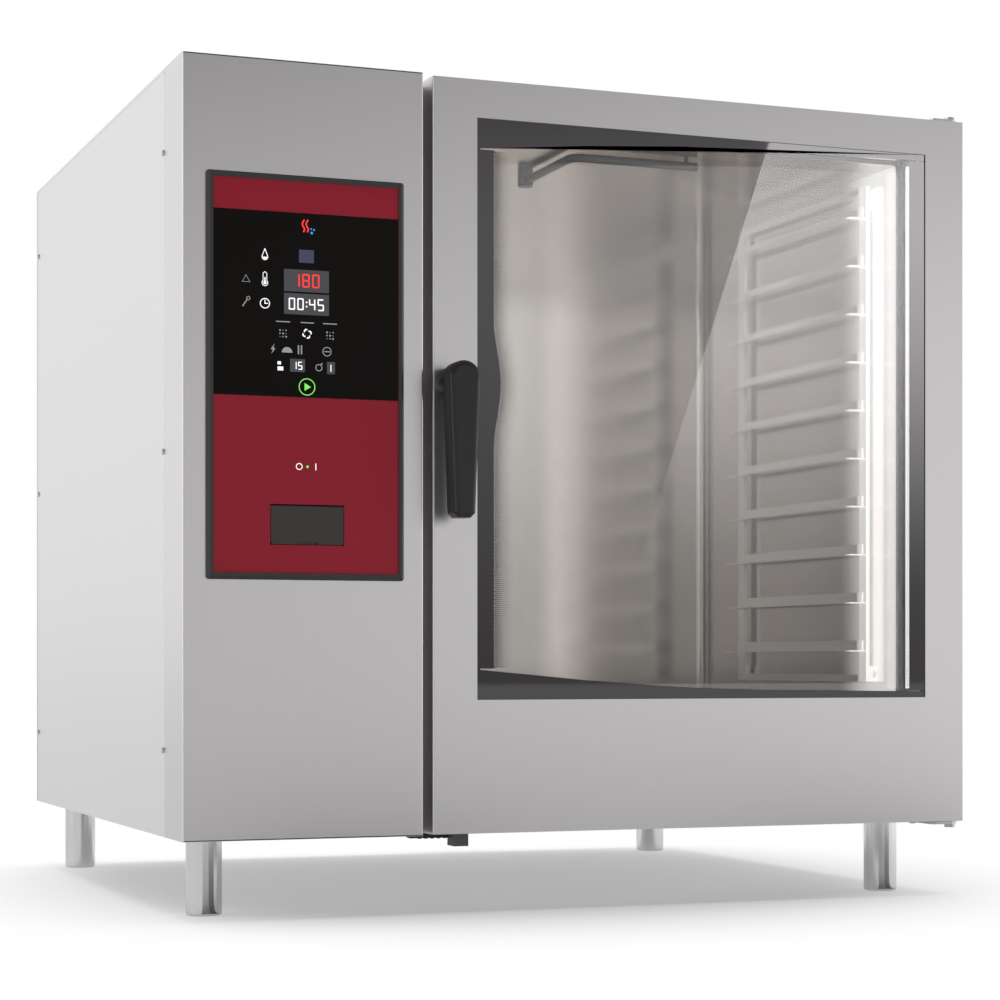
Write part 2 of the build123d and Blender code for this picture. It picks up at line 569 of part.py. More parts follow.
# ------------------------------------------------------------------ legs and levelling feet
LEG_R = 23.5
LEG_WALL = 2
FOOT_DISC = 5
STEM_R = 8
LEG_PLACES = {
    "front_left": (LEFT + 55, FRONT + 110),
    "front_right": (LEFT + 1054, FRONT + 110),
    "rear_left": (LEFT + 55, FRONT + 920),
    "rear_right": (LEFT + 1054, FRONT + 915),
}
for name, (x, y) in LEG_PLACES.items():
    with BuildPart() as leg:
        rod(x, y, FOOT_DISC, LEG_R, LEG_HEIGHT - FOOT_DISC, "Z")
        rod(x, y, FOOT_DISC + 12, LEG_R - LEG_WALL, LEG_HEIGHT - FOOT_DISC - 16, "Z", Mode.SUBTRACT)
        rod(x, y, FOOT_DISC, STEM_R + RUN_GAP, 12, "Z", Mode.SUBTRACT)
    save(leg, f"leg_{name}")
    with BuildPart() as foot:
        rod(x, y, 0, LEG_R - 0.2, FOOT_DISC, "Z")
        fillet(foot.edges().filter_by(GeomType.CIRCLE).group_by(Axis.Z)[0], 2.5)
        rod(x, y, FOOT_DISC, STEM_R, 55, "Z")
    save(foot, f"foot_{name}")

# ------------------------------------------------------------------ door
tunnel_back = DOOR_BACK - 7.5
glass_front = DOOR_FRONT + 2
glass_back = glass_front + GLASS_OUT
win_x, win_z = (WIN_L + WIN_R) / 2, (WIN_LOW + WIN_HIGH) / 2
win_w, win_h = WIN_R - WIN_L, WIN_HIGH - WIN_LOW
LIP = 6
with BuildPart() as door_outer_frame:
    # Front skin with folded sides.
    block(DOOR_L, DOOR_R, DOOR_FRONT, DOOR_BACK - SHEET, DOOR_LOW, DOOR_HIGH)
    fillet(door_outer_frame.edges().filter_by(Axis.Z).filter_by_position(Axis.Y, DOOR_FRONT - 1,
                                                                        DOOR_FRONT + 0.1), BEND)
    block(DOOR_L + SHEET, DOOR_R - SHEET, DOOR_FRONT + SHEET, DOOR_BACK, DOOR_LOW + SHEET, DOOR_HIGH - SHEET,
          Mode.SUBTRACT)
    # Window tunnel back to the inner pane, and the lip that the outer pane is bonded to.
    block(WIN_L - SHEET, WIN_R + SHEET, DOOR_FRONT, tunnel_back, WIN_LOW - SHEET, WIN_HIGH + SHEET)
    block(WIN_L, WIN_R, DOOR_FRONT - 1, tunnel_back + 1, WIN_LOW, WIN_HIGH, Mode.SUBTRACT)
    block(WIN_L, WIN_R, glass_back, glass_back + SHEET, WIN_LOW, WIN_HIGH)
    block(WIN_L + LIP, WIN_R - LIP, glass_back - 1, glass_back + 3, WIN_LOW + LIP, WIN_HIGH - LIP,
          Mode.SUBTRACT)
    # Hinge blocks welded inside the top and bottom folds, bored for the pins.
    for z0, z1 in ((DOOR_LOW + SHEET, DOOR_LOW + SHEET + 25), (DOOR_HIGH - SHEET - 25, DOOR_HIGH - SHEET)):
        block(DOOR_R - 24, DOOR_R - SHEET, DOOR_FRONT + SHEET, DOOR_FRONT + 42, z0, z1)
    rod(HINGE_X, HINGE_Y, DOOR_LOW - 1, HINGE_PIN_R + RUN_GAP, 30, "Z", Mode.SUBTRACT)
    rod(HINGE_X, HINGE_Y, DOOR_HIGH - 29, HINGE_PIN_R + RUN_GAP, 30, "Z", Mode.SUBTRACT)
    rod(SPINDLE_X, DOOR_FRONT - 1, HANDLE_Z, SPINDLE_R + RUN_GAP, 4, "Y", Mode.SUBTRACT)
save(door_outer_frame, "door_outer_frame")

# Inner door panel: closes the back, with a rebate for the inner pane.
pane_l, pane_r = DOOR_L + 32, CAV_R + 30
pane_low, pane_high = CAVITY_FLOOR - 30, CAVITY_TOP + 28
pane_x, pane_z = (pane_l + pane_r) / 2, (pane_low + pane_high) / 2
pane_w, pane_h = pane_r - pane_l, pane_high - pane_low
rebate = DOOR_BACK - GLASS_IN
with BuildPart() as door_inner_frame:
    block(DOOR_L, DOOR_R, DOOR_BACK - SHEET, DOOR_BACK, DOOR_LOW, DOOR_HIGH)
    block(pane_l - 0.5 - SHEET, pane_r + 0.5 + SHEET, rebate - SHEET, DOOR_BACK,
          pane_low - 0.5 - SHEET, pane_high + 0.5 + SHEET)
    block(pane_l - 0.5, pane_r + 0.5, rebate, DOOR_BACK + 1, pane_low - 0.5, pane_high + 0.5, Mode.SUBTRACT)
    block(pane_l + 5, pane_r - 5, rebate - 5, DOOR_BACK + 1, pane_low + 5, pane_high - 5, Mode.SUBTRACT)
    rod(SPINDLE_X, DOOR_BACK - 10, HANDLE_Z, SPINDLE_R + RUN_GAP, 12, "Y", Mode.SUBTRACT)
save(door_inner_frame, "door_inner_frame")

with BuildPart() as outer_glass:
    block(WIN_L + 0.5, WIN_R - 0.5, glass_front, glass_back, WIN_LOW + 0.5, WIN_HIGH - 0.5)
save(outer_glass, "outer_glass")

with BuildPart() as inner_glass:
    block(pane_l, pane_r, rebate, DOOR_BACK, pane_low, pane_high)
save(inner_glass, "inner_glass")

# Lamp strip: an aluminium channel with a diffuser, on the hinge side between the panes.
with BuildPart() as led_strip:
    block(WIN_R - 12, WIN_R, DOOR_FRONT + 20, DOOR_FRONT + 40, WIN_LOW + 12, WIN_HIGH - 12)
    chamfer(led_strip.edges().filter_by(Axis.Z).group_by(Axis.X)[0], 4)
save(led_strip, "led_strip")

# Handle: a tapered moulded grip that hangs from its boss.
GRIP_LOW, GRIP_HIGH = 514, 716
GRIP_TOP_W, GRIP_LOW_W = 43, 29
GRIP_DEEP = 30
BOSS_R = 18.5
grip_front = DOOR_FRONT - GRIP_REACH
with BuildPart() as handle_lever:
    with BuildSketch(upright(grip_front + GRIP_DEEP)):
        top_r, low_r = GRIP_TOP_W / 2, GRIP_LOW_W / 2
        with BuildLine():
            Polyline((SPINDLE_X - top_r, GRIP_HIGH - top_r), (SPINDLE_X - low_r, GRIP_LOW + 6),
                     (SPINDLE_X - low_r + 6, GRIP_LOW), (SPINDLE_X + low_r - 6, GRIP_LOW),
                     (SPINDLE_X + low_r, GRIP_LOW + 6), (SPINDLE_X + top_r, GRIP_HIGH - top_r))
            ThreePointArc((SPINDLE_X + top_r, GRIP_HIGH - top_r), (SPINDLE_X, GRIP_HIGH),
                          (SPINDLE_X - top_r, GRIP_HIGH - top_r))
        make_face()
    extrude(amount=GRIP_DEEP)
    fillet(handle_lever.faces().sort_by(Axis.Y)[0].edges(), 7)
    rod(SPINDLE_X, grip_front + GRIP_DEEP - 1, HANDLE_Z, BOSS_R, GRIP_REACH - GRIP_DEEP + 0.7, "Y")
    rod(SPINDLE_X, DOOR_FRONT - 18, HANDLE_Z, SPINDLE_R, 20, "Y", Mode.SUBTRACT)
save(handle_lever, "handle_lever")

# Spindle with the latch tongue that turns behind the door.
TONGUE = 4
tongue_y = DOOR_BACK + 1.5
with BuildPart() as handle_spindle:
    rod(SPINDLE_X, DOOR_FRONT - 18, HANDLE_Z, SPINDLE_R, DOOR_DEPTH + 18 + 1.5, "Y")
    with BuildSketch(upright(tongue_y)):
        with Locations((SPINDLE_X - 6.5, HANDLE_Z)):
            SlotOverall(28, 15)
    extrude(amount=-TONGUE)
save(handle_spindle, "handle_spindle")

# Latch keeper on the frame, behind the tongue.
with BuildPart() as latch_striker:
    block(COLUMN_RIGHT + 3, SPINDLE_X - 2, FRAME - 4.5, FRAME, HANDLE_Z - 18, HANDLE_Z + 18)
    fillet(latch_striker.edges().filter_by(Axis.Y), 3)
save(latch_striker, "latch_striker")

# Hinge brackets: a plate bolted to the casing with a pin that drops into the door.
PLATE = 3.8
for name, z, outward in (("upper", TOP, 1), ("lower", BASE, -1)):
    near, far = sorted((z, z + outward * PLATE))
    with BuildPart() as bracket:
        block(CASE_RIGHT - 37, CASE_RIGHT, HINGE_Y - 13, FRAME + 45, near, far)
        fillet(bracket.edges().filter_by(Axis.Z).group_by(Axis.Y)[0], 6)
        rod(HINGE_X, HINGE_Y, min(z - outward * 26, far), HINGE_PIN_R, 26 + PLATE, "Z")
        rod(HINGE_X, HINGE_Y, near, 9.5, PLATE, "Z")
        rod(HINGE_X, HINGE_Y, far if outward > 0 else near - 5, 7.5, 5, "Z")
        with Locations(*[(CASE_RIGHT - 26, FRAME + 12, near), (CASE_RIGHT - 12, FRAME + 30, near)]):
            Cylinder(3.2, PLATE * 2.6, mode=Mode.SUBTRACT)
    save(bracket, f"hinge_bracket_{name}")

# ------------------------------------------------------------------ drip tray, hose and services
# Drip gutter below the cavity mouth with a spout under the casing.
SPOUT_L, SPOUT_R = LEFT + 386, LEFT + 406
with BuildPart() as drip_tray:
    block(COLUMN_RIGHT + 18, CASE_RIGHT - 20, DOOR_BACK + 1.5, FRAME, 108, 124)
    block(COLUMN_RIGHT + 19, CASE_RIGHT - 21, DOOR_BACK + 2.5, FRAME - 1, 110, 125, Mode.SUBTRACT)
    block(SPOUT_L, SPOUT_R, DOOR_BACK + 1.5, FRAME, 83, 110)
    block(SPOUT_L, SPOUT_R, DOOR_BACK + 1.5, FRAME + 18, 83, BASE)
    block(SPOUT_L + 2, SPOUT_R - 2, DOOR_BACK + 2.5, FRAME - 1, 82, 112, Mode.SUBTRACT)
save(drip_tray, "drip_tray")

# Drain hose of the gutter: a ribbed tube that turns up into the casing.
HOSE_R = 4.5
hose_z = BASE - 5.4
hose_run = SPOUT_L - HOSE_X
with BuildPart() as drip_hose:
    with BuildLine(Plane.XZ.offset(-HOSE_Y)):
        FilletPolyline((SPOUT_L, hose_z), (HOSE_X, hose_z), (HOSE_X, BASE + 30), radius=9)
    with BuildSketch(Plane(origin=(SPOUT_L, HOSE_Y, hose_z), z_dir=(-1, 0, 0))):
        Circle(HOSE_R)
    sweep()
    for i in range(5):
        rod(SPOUT_L - 6 - 9 * i, HOSE_Y, hose_z, HOSE_R + 0.8, 4, "X")
save(drip_hose, "drip_hose")

# Exhaust and pressure relief pipes, through the top cover, each with a collar that rests on the cover.
COLLAR = 3
NECK = 0.5
for name, (x, y), radius, rise in (("exhaust_pipe", EXHAUST_AT, EXHAUST_R, CHIMNEY_RISE),
                                   ("relief_pipe", RELIEF_AT, RELIEF_R, CHIMNEY_RISE - 30)):
    low = CAVITY_TOP + SHEET
    with BuildPart() as pipe:
        rod(x, y, low, radius - NECK, TOP - low, "Z")
        rod(x, y, TOP, radius + 6, COLLAR, "Z")
        rod(x, y, TOP + COLLAR, radius, rise - COLLAR, "Z")
        rod(x, y, low, radius - SHEET, TOP + rise - low, "Z", Mode.SUBTRACT)
    save(pipe, name)

# Drain pipe: down from the cavity floor, then straight out of the rear, with a collar on the panel.
DRAIN_NECK = DRAIN_R - NECK
DRAIN_BORE = DRAIN_R - SHEET
drain_turn = DRAIN_Y + 60
with BuildPart() as drain_pipe:
    with BuildLine(Plane.YZ.offset(DRAIN_X)):
        drain_path = FilletPolyline((DRAIN_Y, CAVITY_FLOOR - SHEET), (DRAIN_Y, DRAIN_Z),
                                    (drain_turn, DRAIN_Z), radius=45)
    with BuildSketch(Plane(origin=(DRAIN_X, DRAIN_Y, CAVITY_FLOOR - SHEET), z_dir=(0, 0, -1))):
        Circle(DRAIN_NECK)
        Circle(DRAIN_BORE, mode=Mode.SUBTRACT)
    sweep(path=drain_path)
    rod(DRAIN_X, drain_turn, DRAIN_Z, DRAIN_NECK, REAR - drain_turn, "Y")
    rod(DRAIN_X, REAR, DRAIN_Z, DRAIN_R + 5, COLLAR, "Y")
    rod(DRAIN_X, REAR + COLLAR, DRAIN_Z, DRAIN_R, PIPE_REACH - COLLAR, "Y")
    rod(DRAIN_X, drain_turn, DRAIN_Z, DRAIN_BORE, REAR + PIPE_REACH - drain_turn, "Y", Mode.SUBTRACT)
save(drain_pipe, "drain_pipe")

# Water valves: a body inside the rear panel and a flanged, threaded inlet through it.
for name, x in VALVE_X.items():
    with BuildPart() as valve:
        block(x - 20, x + 20, REAR - SHEET - 45, REAR - SHEET, SERVICE_Z - 20, SERVICE_Z + 20)
        rod(x, REAR - 25, SERVICE_Z + 20, 14, 38, "Z")
        rod(x, REAR - SHEET, SERVICE_Z, INLET_R - NECK, SHEET, "Y")
        rod(x, REAR, SERVICE_Z, INLET_R + 5, COLLAR, "Y")
        rod(x, REAR + COLLAR, SERVICE_Z, INLET_R, 20 - COLLAR, "Y")
        rod(x, REAR - 4, SERVICE_Z, INLET_R - 3.5, 30, "Y", Mode.SUBTRACT)
    save(valve, name)

# Cable gland for the mains lead.
GLAND_BORE_R = 9
with BuildPart() as cable_gland:
    rod(GLAND_X, REAR - 14, SERVICE_Z, GLAND_R - 4.2, 14, "Y")
    with BuildSketch(upright(REAR)):
        with Locations((GLAND_X, SERVICE_Z)):
            RegularPolygon(GLAND_R, 6)
    extrude(amount=-8)
    rod(GLAND_X, REAR + 8, SERVICE_Z, GLAND_R - 4, 18, "Y")
    fillet(cable_gland.faces().sort_by(Axis.Y)[-1].edges(), 4)
    rod(GLAND_X, REAR - 20, SERVICE_Z, GLAND_BORE_R, 60, "Y", Mode.SUBTRACT)
save(cable_gland, "cable_gland")

# Pan-head screws of the side, rear and top panels.
SCREW_R, SCREW_HEAD = 4, 2
with BuildPart() as casing_screws:
    for z in (215, 600, 985):
        for depth in (103, 982):
            rod(LEFT - SCREW_HEAD, FRONT + depth, z, SCREW_R, SCREW_HEAD, "X")
            rod(CASE_RIGHT, FRONT + depth, z, SCREW_R, SCREW_HEAD, "X")
    for x in (20, 290, 560, 830, 1102):
        for z in (118, 1070):
            rod(LEFT + x, REAR, z, SCREW_R, SCREW_HEAD, "Y")
    for x, y in ((CASE_RIGHT - 26, FRAME + 12), (CASE_RIGHT - 12, FRAME + 30)):
        rod(x, y, TOP + PLATE, 5, 3, "Z")
        rod(x, y, BASE - PLATE - 3, 5, 3, "Z")
save(casing_screws, "casing_screws")
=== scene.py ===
import math
import bpy
import bmesh
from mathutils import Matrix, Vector


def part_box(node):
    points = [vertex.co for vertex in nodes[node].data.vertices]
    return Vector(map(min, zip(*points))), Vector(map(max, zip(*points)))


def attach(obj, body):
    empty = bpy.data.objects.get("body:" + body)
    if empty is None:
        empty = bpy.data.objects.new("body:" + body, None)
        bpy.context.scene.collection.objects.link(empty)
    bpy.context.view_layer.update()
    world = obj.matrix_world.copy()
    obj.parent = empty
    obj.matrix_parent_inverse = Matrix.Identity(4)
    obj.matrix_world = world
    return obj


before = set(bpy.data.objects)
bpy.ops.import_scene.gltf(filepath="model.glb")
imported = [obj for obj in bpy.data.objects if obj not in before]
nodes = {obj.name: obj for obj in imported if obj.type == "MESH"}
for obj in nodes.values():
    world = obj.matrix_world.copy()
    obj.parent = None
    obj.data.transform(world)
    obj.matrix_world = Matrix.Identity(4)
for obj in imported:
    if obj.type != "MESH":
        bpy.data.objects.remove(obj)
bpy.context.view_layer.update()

# ------------------------------------------------------------------ studio
# A white floor and surround, soft lights, and the camera. The camera stands off the casing's
# left front edge, level with the lower third of the oven.
casing_lo, casing_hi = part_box("column_front")
corner_x, corner_y = casing_lo.x, casing_lo.y
CAMERA_LEFT, CAMERA_BACK, CAMERA_HEIGHT = 0.7346, 3.0418, 0.330
CAMERA_TURN = 20.87
CAMERA_LENS = 89.35
CAMERA_SHIFT = 0.161

camera_data = bpy.data.cameras.new("camera")
camera_data.lens = CAMERA_LENS
camera_data.sensor_width = 36
camera_data.shift_y = CAMERA_SHIFT
camera_data.clip_end = 100
camera = bpy.data.objects.new("camera", camera_data)
camera.location = (corner_x - CAMERA_LEFT, corner_y - CAMERA_BACK, CAMERA_HEIGHT)
camera.rotation_euler = (math.radians(90), 0, math.radians(-CAMERA_TURN))
bpy.context.scene.collection.objects.link(camera)
bpy.context.scene.camera = camera
bpy.context.scene.view_settings.view_transform = "Standard"


class Field:
    """A number or colour that varies over a surface: one output socket of a material's nodes."""

    def __init__(self, recipe, socket):
        self.recipe = recipe
        self.socket = socket

    def _math(self, operation, left, right):
        return self.recipe.node("ShaderNodeMath", {"operation": operation}, {0: left, 1: right})

    def __add__(self, other):
        return self._math("ADD", self, other)

    def __radd__(self, other):
        return self._math("ADD", other, self)

    def __sub__(self, other):
        return self._math("SUBTRACT", self, other)

    def __rsub__(self, other):
        return self._math("SUBTRACT", other, self)

    def __mul__(self, other):
        return self._math("MULTIPLY", self, other)

    def __rmul__(self, other):
        return self._math("MULTIPLY", other, self)

    def __truediv__(self, other):
        return self._math("DIVIDE", self, other)

    def most(self, other):
        return self._math("MAXIMUM", self, other)


class Nodes:
    """A node tree in the making."""

    def __init__(self, tree):
        self.tree = tree

    def node(self, kind, settings=None, values=None, output=0):
        made = self.tree.nodes.new(kind)
        for key, value in (settings or {}).items():
            setattr(made, key, value)
        for key, value in (values or {}).items():
            if isinstance(value, Field):
                self.tree.links.new(value.socket, made.inputs[key])
            elif value is not None:
                made.inputs[key].default_value = value
        return Field(self, made.outputs[output])

    def split(self, vector):
        """A vector as three numbers."""
        parts = self.node("ShaderNodeSeparateXYZ", None, {0: vector})
        return [Field(self, parts.socket.node.outputs[i]) for i in range(3)]

    def ease(self, value, start, end, low, high):
        """A number that runs smoothly from one value to another as its input crosses a span."""
        return self.node("ShaderNodeMapRange", {"interpolation_type": "SMOOTHSTEP"},
                         {"Value": value, "From Min": start, "From Max": end, "To Min": low, "To Max": high})


class Recipe(Nodes):
    """A surface finish in the making: its nodes, and the shader that they feed."""

    def __init__(self, name, **constants):
        self.material = bpy.data.materials.new(name)
        self.material.use_nodes = True
        super().__init__(self.material.node_tree)
        self.shader = self.tree.nodes["Principled BSDF"]
        self.output = self.tree.nodes["Material Output"]
        for socket, value in constants.items():
            if isinstance(value, tuple):
                value = (*value, 1)
            self.shader.inputs[socket.replace("_", " ")].default_value = value

    def place(self):
        """Where a point is on the oven, in metres."""
        return self.node("ShaderNodeTexCoord", output="Object")

    def axes(self):
        """The place as three numbers."""
        return self.split(self.place())

    def stretched(self, scale):
        """The place, squeezed or stretched along each axis, for a grain."""
        return self.node("ShaderNodeMapping", None, {"Vector": self.place(), "Scale": scale})

    def noise(self, scale, detail=2.0, vector=None):
        return self.node("ShaderNodeTexNoise", {"noise_dimensions": "3D"},
                         {"Vector": vector or self.place(), "Scale": scale, "Detail": detail})

    def blend(self, factor, first, second):
        """A colour between two, by a factor."""
        made = self.node("ShaderNodeMix", {"data_type": "RGBA"}).socket.node
        for index, value in ((0, factor), (6, first), (7, second)):
            if isinstance(value, Field):
                self.tree.links.new(value.socket, made.inputs[index])
            else:
                made.inputs[index].default_value = value if index == 0 else (*value, 1)
        return Field(self, made.outputs[2])

    def feed(self, socket, field):
        self.tree.links.new(field.socket, self.shader.inputs[socket])

    def bump(self, height, strength, distance):
        self.feed("Normal", self.node("ShaderNodeBump", None,
                                      {"Height": height, "Strength": strength, "Distance": distance}))


def finish_node(material, *names):
    """Give CAD nodes a material."""
    for name in names:
        slots = nodes[name].data.materials
        slots.clear()
        slots.append(material)


def new_piece(name, mesh, material, body):
    """A finished mesh piece that rides on a body."""
    piece = bpy.data.objects.new(name, mesh)
    bpy.context.scene.collection.objects.link(piece)
    mesh.materials.clear()
    mesh.materials.append(material)
    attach(piece, body)
    return piece


def stage_sheet(name, corners, material):
    """A flat sheet that belongs to the studio."""
    mesh = bpy.data.meshes.new(name)
    mesh.from_pydata(corners, [], [tuple(range(len(corners)))])
    mesh.materials.append(material)
    sheet = bpy.data.objects.new(name, mesh)
    bpy.context.scene.collection.objects.link(sheet)
    return sheet


# The floor fades to plain white away from the oven, so that it has no horizon. The steel's
# reflections see its far part a little darker on the left than on the right.
FLOOR_REACH = 30
FADE_START, FADE_END = 0.5, 1.0
FADE_LEAST = 0.3
LEFT_FLOOR, RIGHT_FLOOR = (0.5, 0.76), (2.2, 1.12)       # place across, brightness
pale = Recipe("pale_floor", Roughness=0.9, Specular_IOR_Level=0.0, Base_Color=(0.93, 0.93, 0.935))
fade = pale.ease(pale.node("ShaderNodeVectorMath", {"operation": "LENGTH"}, {0: pale.place()}, output=1),
                 FADE_START, FADE_END, FADE_LEAST, 1.0)
white = pale.tree.nodes.new("ShaderNodeEmission")
pale_mix = pale.tree.nodes.new("ShaderNodeMixShader")
pale.tree.links.new(fade.socket, pale_mix.inputs[0])
pale.tree.links.new(pale.shader.outputs[0], pale_mix.inputs[1])
pale.tree.links.new(white.outputs[0], pale_mix.inputs[2])
pale.tree.links.new(pale_mix.outputs[0], pale.output.inputs[0])
white.inputs["Color"].default_value = (1, 1, 1, 1)
floor_seen = Field(pale, pale.node("ShaderNodeLightPath").socket.node.outputs["Is Camera Ray"])
far_floor = pale.ease(pale.axes()[0], LEFT_FLOOR[0], RIGHT_FLOOR[0], LEFT_FLOOR[1], RIGHT_FLOOR[1])
pale.tree.links.new((floor_seen * (1.0 - far_floor) + far_floor).socket, white.inputs["Strength"])
stage_sheet("floor", [(x * FLOOR_REACH, y * FLOOR_REACH, 0) for x, y in ((-1, -1), (1, -1), (1, 1), (-1, 1))],
            pale.material)

# The surround is white behind the oven. In front it is a mid grey band at eye level under a
# darker ceiling, with a bright lamp at each side that draws the folded edges.
BACK_LEVEL = 1.05
CEILING_LEVEL, HORIZON_LEVEL = 0.10, 0.40
BAND_LEFT, BAND_RIGHT = 0.92, 1.4
LEFT_LAMP, RIGHT_LAMP = 1.6, 1.4
world = bpy.data.worlds.new("studio")
bpy.context.scene.world = world
world.use_nodes = True
world.node_tree.nodes.clear()
sky = Nodes(world.node_tree)
across, along, up = sky.split(sky.node("ShaderNodeTexCoord", output="Generated"))
eye_band = sky.ease(up, -0.02, 0.14, HORIZON_LEVEL, 1.0) - sky.ease(up, 0.17, 0.27, 0.0, 1.0 - CEILING_LEVEL)
front_level = eye_band * sky.ease(across, 0.2, 0.55, BAND_LEFT, BAND_RIGHT)
front_share = sky.ease(along, -0.35, 0.15, 1.0, 0.0)
side_lamps = sky.ease(across, -0.99, -0.90, LEFT_LAMP, 0.0) + sky.ease(across, 0.92, 0.99, 0.0, RIGHT_LAMP)
level = front_level * front_share + BACK_LEVEL * (1.0 - front_share) + side_lamps
seen = Field(sky, sky.node("ShaderNodeLightPath").socket.node.outputs["Is Camera Ray"])
shown = level * (1.0 - seen) + seen
glow = sky.node("ShaderNodeBackground", None, {"Color": (1, 1, 1, 1), "Strength": shown})
sky.tree.links.new(glow.socket, sky.tree.nodes.new("ShaderNodeOutputWorld").inputs[0])


def soft_light(name, place, aim, size, watts, tint=(1, 1, 1)):
    """A rectangular soft light at a place, turned to face a point."""
    data = bpy.data.lights.new(name, "AREA")
    data.energy = watts
    data.shape = "RECTANGLE"
    data.size, data.size_y = size
    data.color = tint
    lamp = bpy.data.objects.new(name, data)
    lamp.location = place
    lamp.rotation_euler = (Vector(aim) - Vector(place)).to_track_quat("-Z", "Y").to_euler()
    lamp.visible_camera = False
    bpy.context.scene.collection.objects.link(lamp)
    return lamp


soft_light("top_softbox", (0, 0.3, 3.6), (0, 0, 0), (3, 3), 95).visible_glossy = False

# Grey and dark cards lie on the floor right of the front legs, as the shading of a polished tube
# needs. Each is a wedge that starts at a leg, given by its turn from the camera's direction.
FLAG_REACH, FLAG_HEIGHT = 1.3, 0.003
GREY_TURN, DARK_TURN, LAST_TURN = -8, 30, 64             # degrees from the camera's direction
GREY_SHADE, DARK_SHADE = 0.5, 0.2
card_paint = {shade: Recipe(f"card_{shade}", Roughness=1.0, Base_Color=(shade, shade, shade)).material
              for shade in (GREY_SHADE, DARK_SHADE)}
for corner in ("front_left", "front_right"):
    lo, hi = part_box(f"leg_{corner}")
    leg_x, leg_y = (lo.x + hi.x) / 2, (lo.y + hi.y) / 2
    towards_camera = math.atan2(camera.location.y - leg_y, camera.location.x - leg_x)
    for shade, start, end in ((GREY_SHADE, GREY_TURN, DARK_TURN), (DARK_SHADE, DARK_TURN, LAST_TURN)):
        corners = [(leg_x, leg_y, FLAG_HEIGHT)]
        for turn in (start, (start + end) / 2, end):
            way = towards_camera + math.radians(turn)
            corners.append((leg_x + FLAG_REACH * math.cos(way), leg_y + FLAG_REACH * math.sin(way),
                            FLAG_HEIGHT))
        flag = stage_sheet(f"flag_{corner}_{start}", corners, card_paint[shade])
        flag.visible_camera = False
        flag.visible_shadow = False
        flag.visible_diffuse = False
        flag.visible_transmission = False

# ------------------------------------------------------------------ brushed steel panels
# Stainless sheet with a fine upright brushing. The sides are a brighter, flatter finish than
# the column's and the door's fronts.
def brushed_steel(name, tint, rough, grain=(1600.0, 1600.0, 6.0)):
    steel = Recipe(name, Metallic=1.0)
    lines = steel.noise(1.0, 3.0, steel.stretched(grain))
    broad = steel.noise(2.2, 1.0)
    dark = tuple(c * 0.94 for c in tint)
    light = tuple(min(1.0, c * 1.05) for c in tint)
    steel.feed("Base Color", steel.blend(lines * 0.7 + broad * 0.3, dark, light))
    steel.feed("Roughness", rough - 0.04 + lines * 0.06 + broad * 0.04)
    steel.bump(lines, 0.05, 0.0002)
    return steel.material


front_steel = brushed_steel("front_steel", (0.64, 0.622, 0.63), 0.3)
side_steel = brushed_steel("side_steel", (0.735, 0.725, 0.74), 0.4)
back_steel = brushed_steel("back_steel", (0.6, 0.6, 0.61), 0.45)
fitting_steel = brushed_steel("fitting_steel", (0.56, 0.55, 0.55), 0.32)
finish_node(front_steel, "column_front", "door_outer_frame", "door_inner_frame", "front_frame")
finish_node(side_steel, "left_side_panel", "right_side_panel", "top_panel")
finish_node(back_steel, "rear_panel", "base_pan")
finish_node(fitting_steel, "hinge_bracket_upper", "hinge_bracket_lower", "latch_striker", "rack_studs",
            "handle_spindle", "casing_screws")

# ------------------------------------------------------------------ side seam highlight
# A thin near-white strip along the side panel's folded front edge, beside the column's wrap, is a painted
# highlight.
panel_lo, panel_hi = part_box("left_side_panel")
SEAM_WIDTH = 0.0007
SEAM_DEPTH = 0.001


def box_mesh(name, low, high):
    """A closed box between two corners."""
    made = bmesh.new()
    bmesh.ops.create_cube(made, size=1)
    for vertex in made.verts:
        for axis in range(3):
            vertex.co[axis] = low[axis] if vertex.co[axis] < 0 else high[axis]
    mesh = bpy.data.meshes.new(name)
    made.to_mesh(mesh)
    made.free()
    return mesh


# Near-white colour that stands in for the light a folded edge catches: a painted highlight.
painted_edge_highlight = Recipe("painted_edge_highlight", Metallic=0.3, Roughness=0.35, Base_Color=(0.95, 0.95, 0.96)).material
seam_highlight_mesh = box_mesh("side_seam_highlight", (panel_lo.x + 0.0001, panel_lo.y - SEAM_WIDTH, panel_lo.z + 0.002),
                     (panel_lo.x + SEAM_DEPTH, panel_lo.y - 0.00005, panel_hi.z - 0.01))
new_piece("side_seam_highlight", seam_highlight_mesh, painted_edge_highlight, "cabinet")

# ------------------------------------------------------------------ folded edges: painted highlight and shade
# The left folds of the column's and the door's fronts carry fine bright lines of painted highlight, and the
# column's top and bottom hems fine dark lines of painted shade.
FOLD_WIDTH, HEM_WIDTH = 0.0011, 0.0012
FOLD_PROUD, FOLD_BACK = 0.00012, 0.00002
# Near black, standing in for the shade along the column's hems: painted shade.
painted_hem_shade = Recipe("painted_hem_shade", Metallic=0.6, Roughness=0.5, Base_Color=(0.06, 0.055, 0.05)).material
FOLD_INSET, FOLD_SHORT = 0.0004, 0.002
HEM_INSET = 0.0005
for name, body, slot in (("column_front", "cabinet", "steel_front"),
                         ("door_outer_frame", "door", "steel_door")):
    lo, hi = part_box(name)
    # Each left fold gets a thin proud strip in the painted highlight colour.
    fold_highlight = box_mesh(f"{name}_fold", (lo.x + FOLD_INSET, lo.y - FOLD_PROUD, lo.z + FOLD_SHORT),
                    (lo.x + FOLD_INSET + FOLD_WIDTH, lo.y - FOLD_BACK, hi.z - FOLD_SHORT))
    new_piece(f"{name}_fold", fold_highlight, painted_edge_highlight, body)
lo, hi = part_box("column_front")
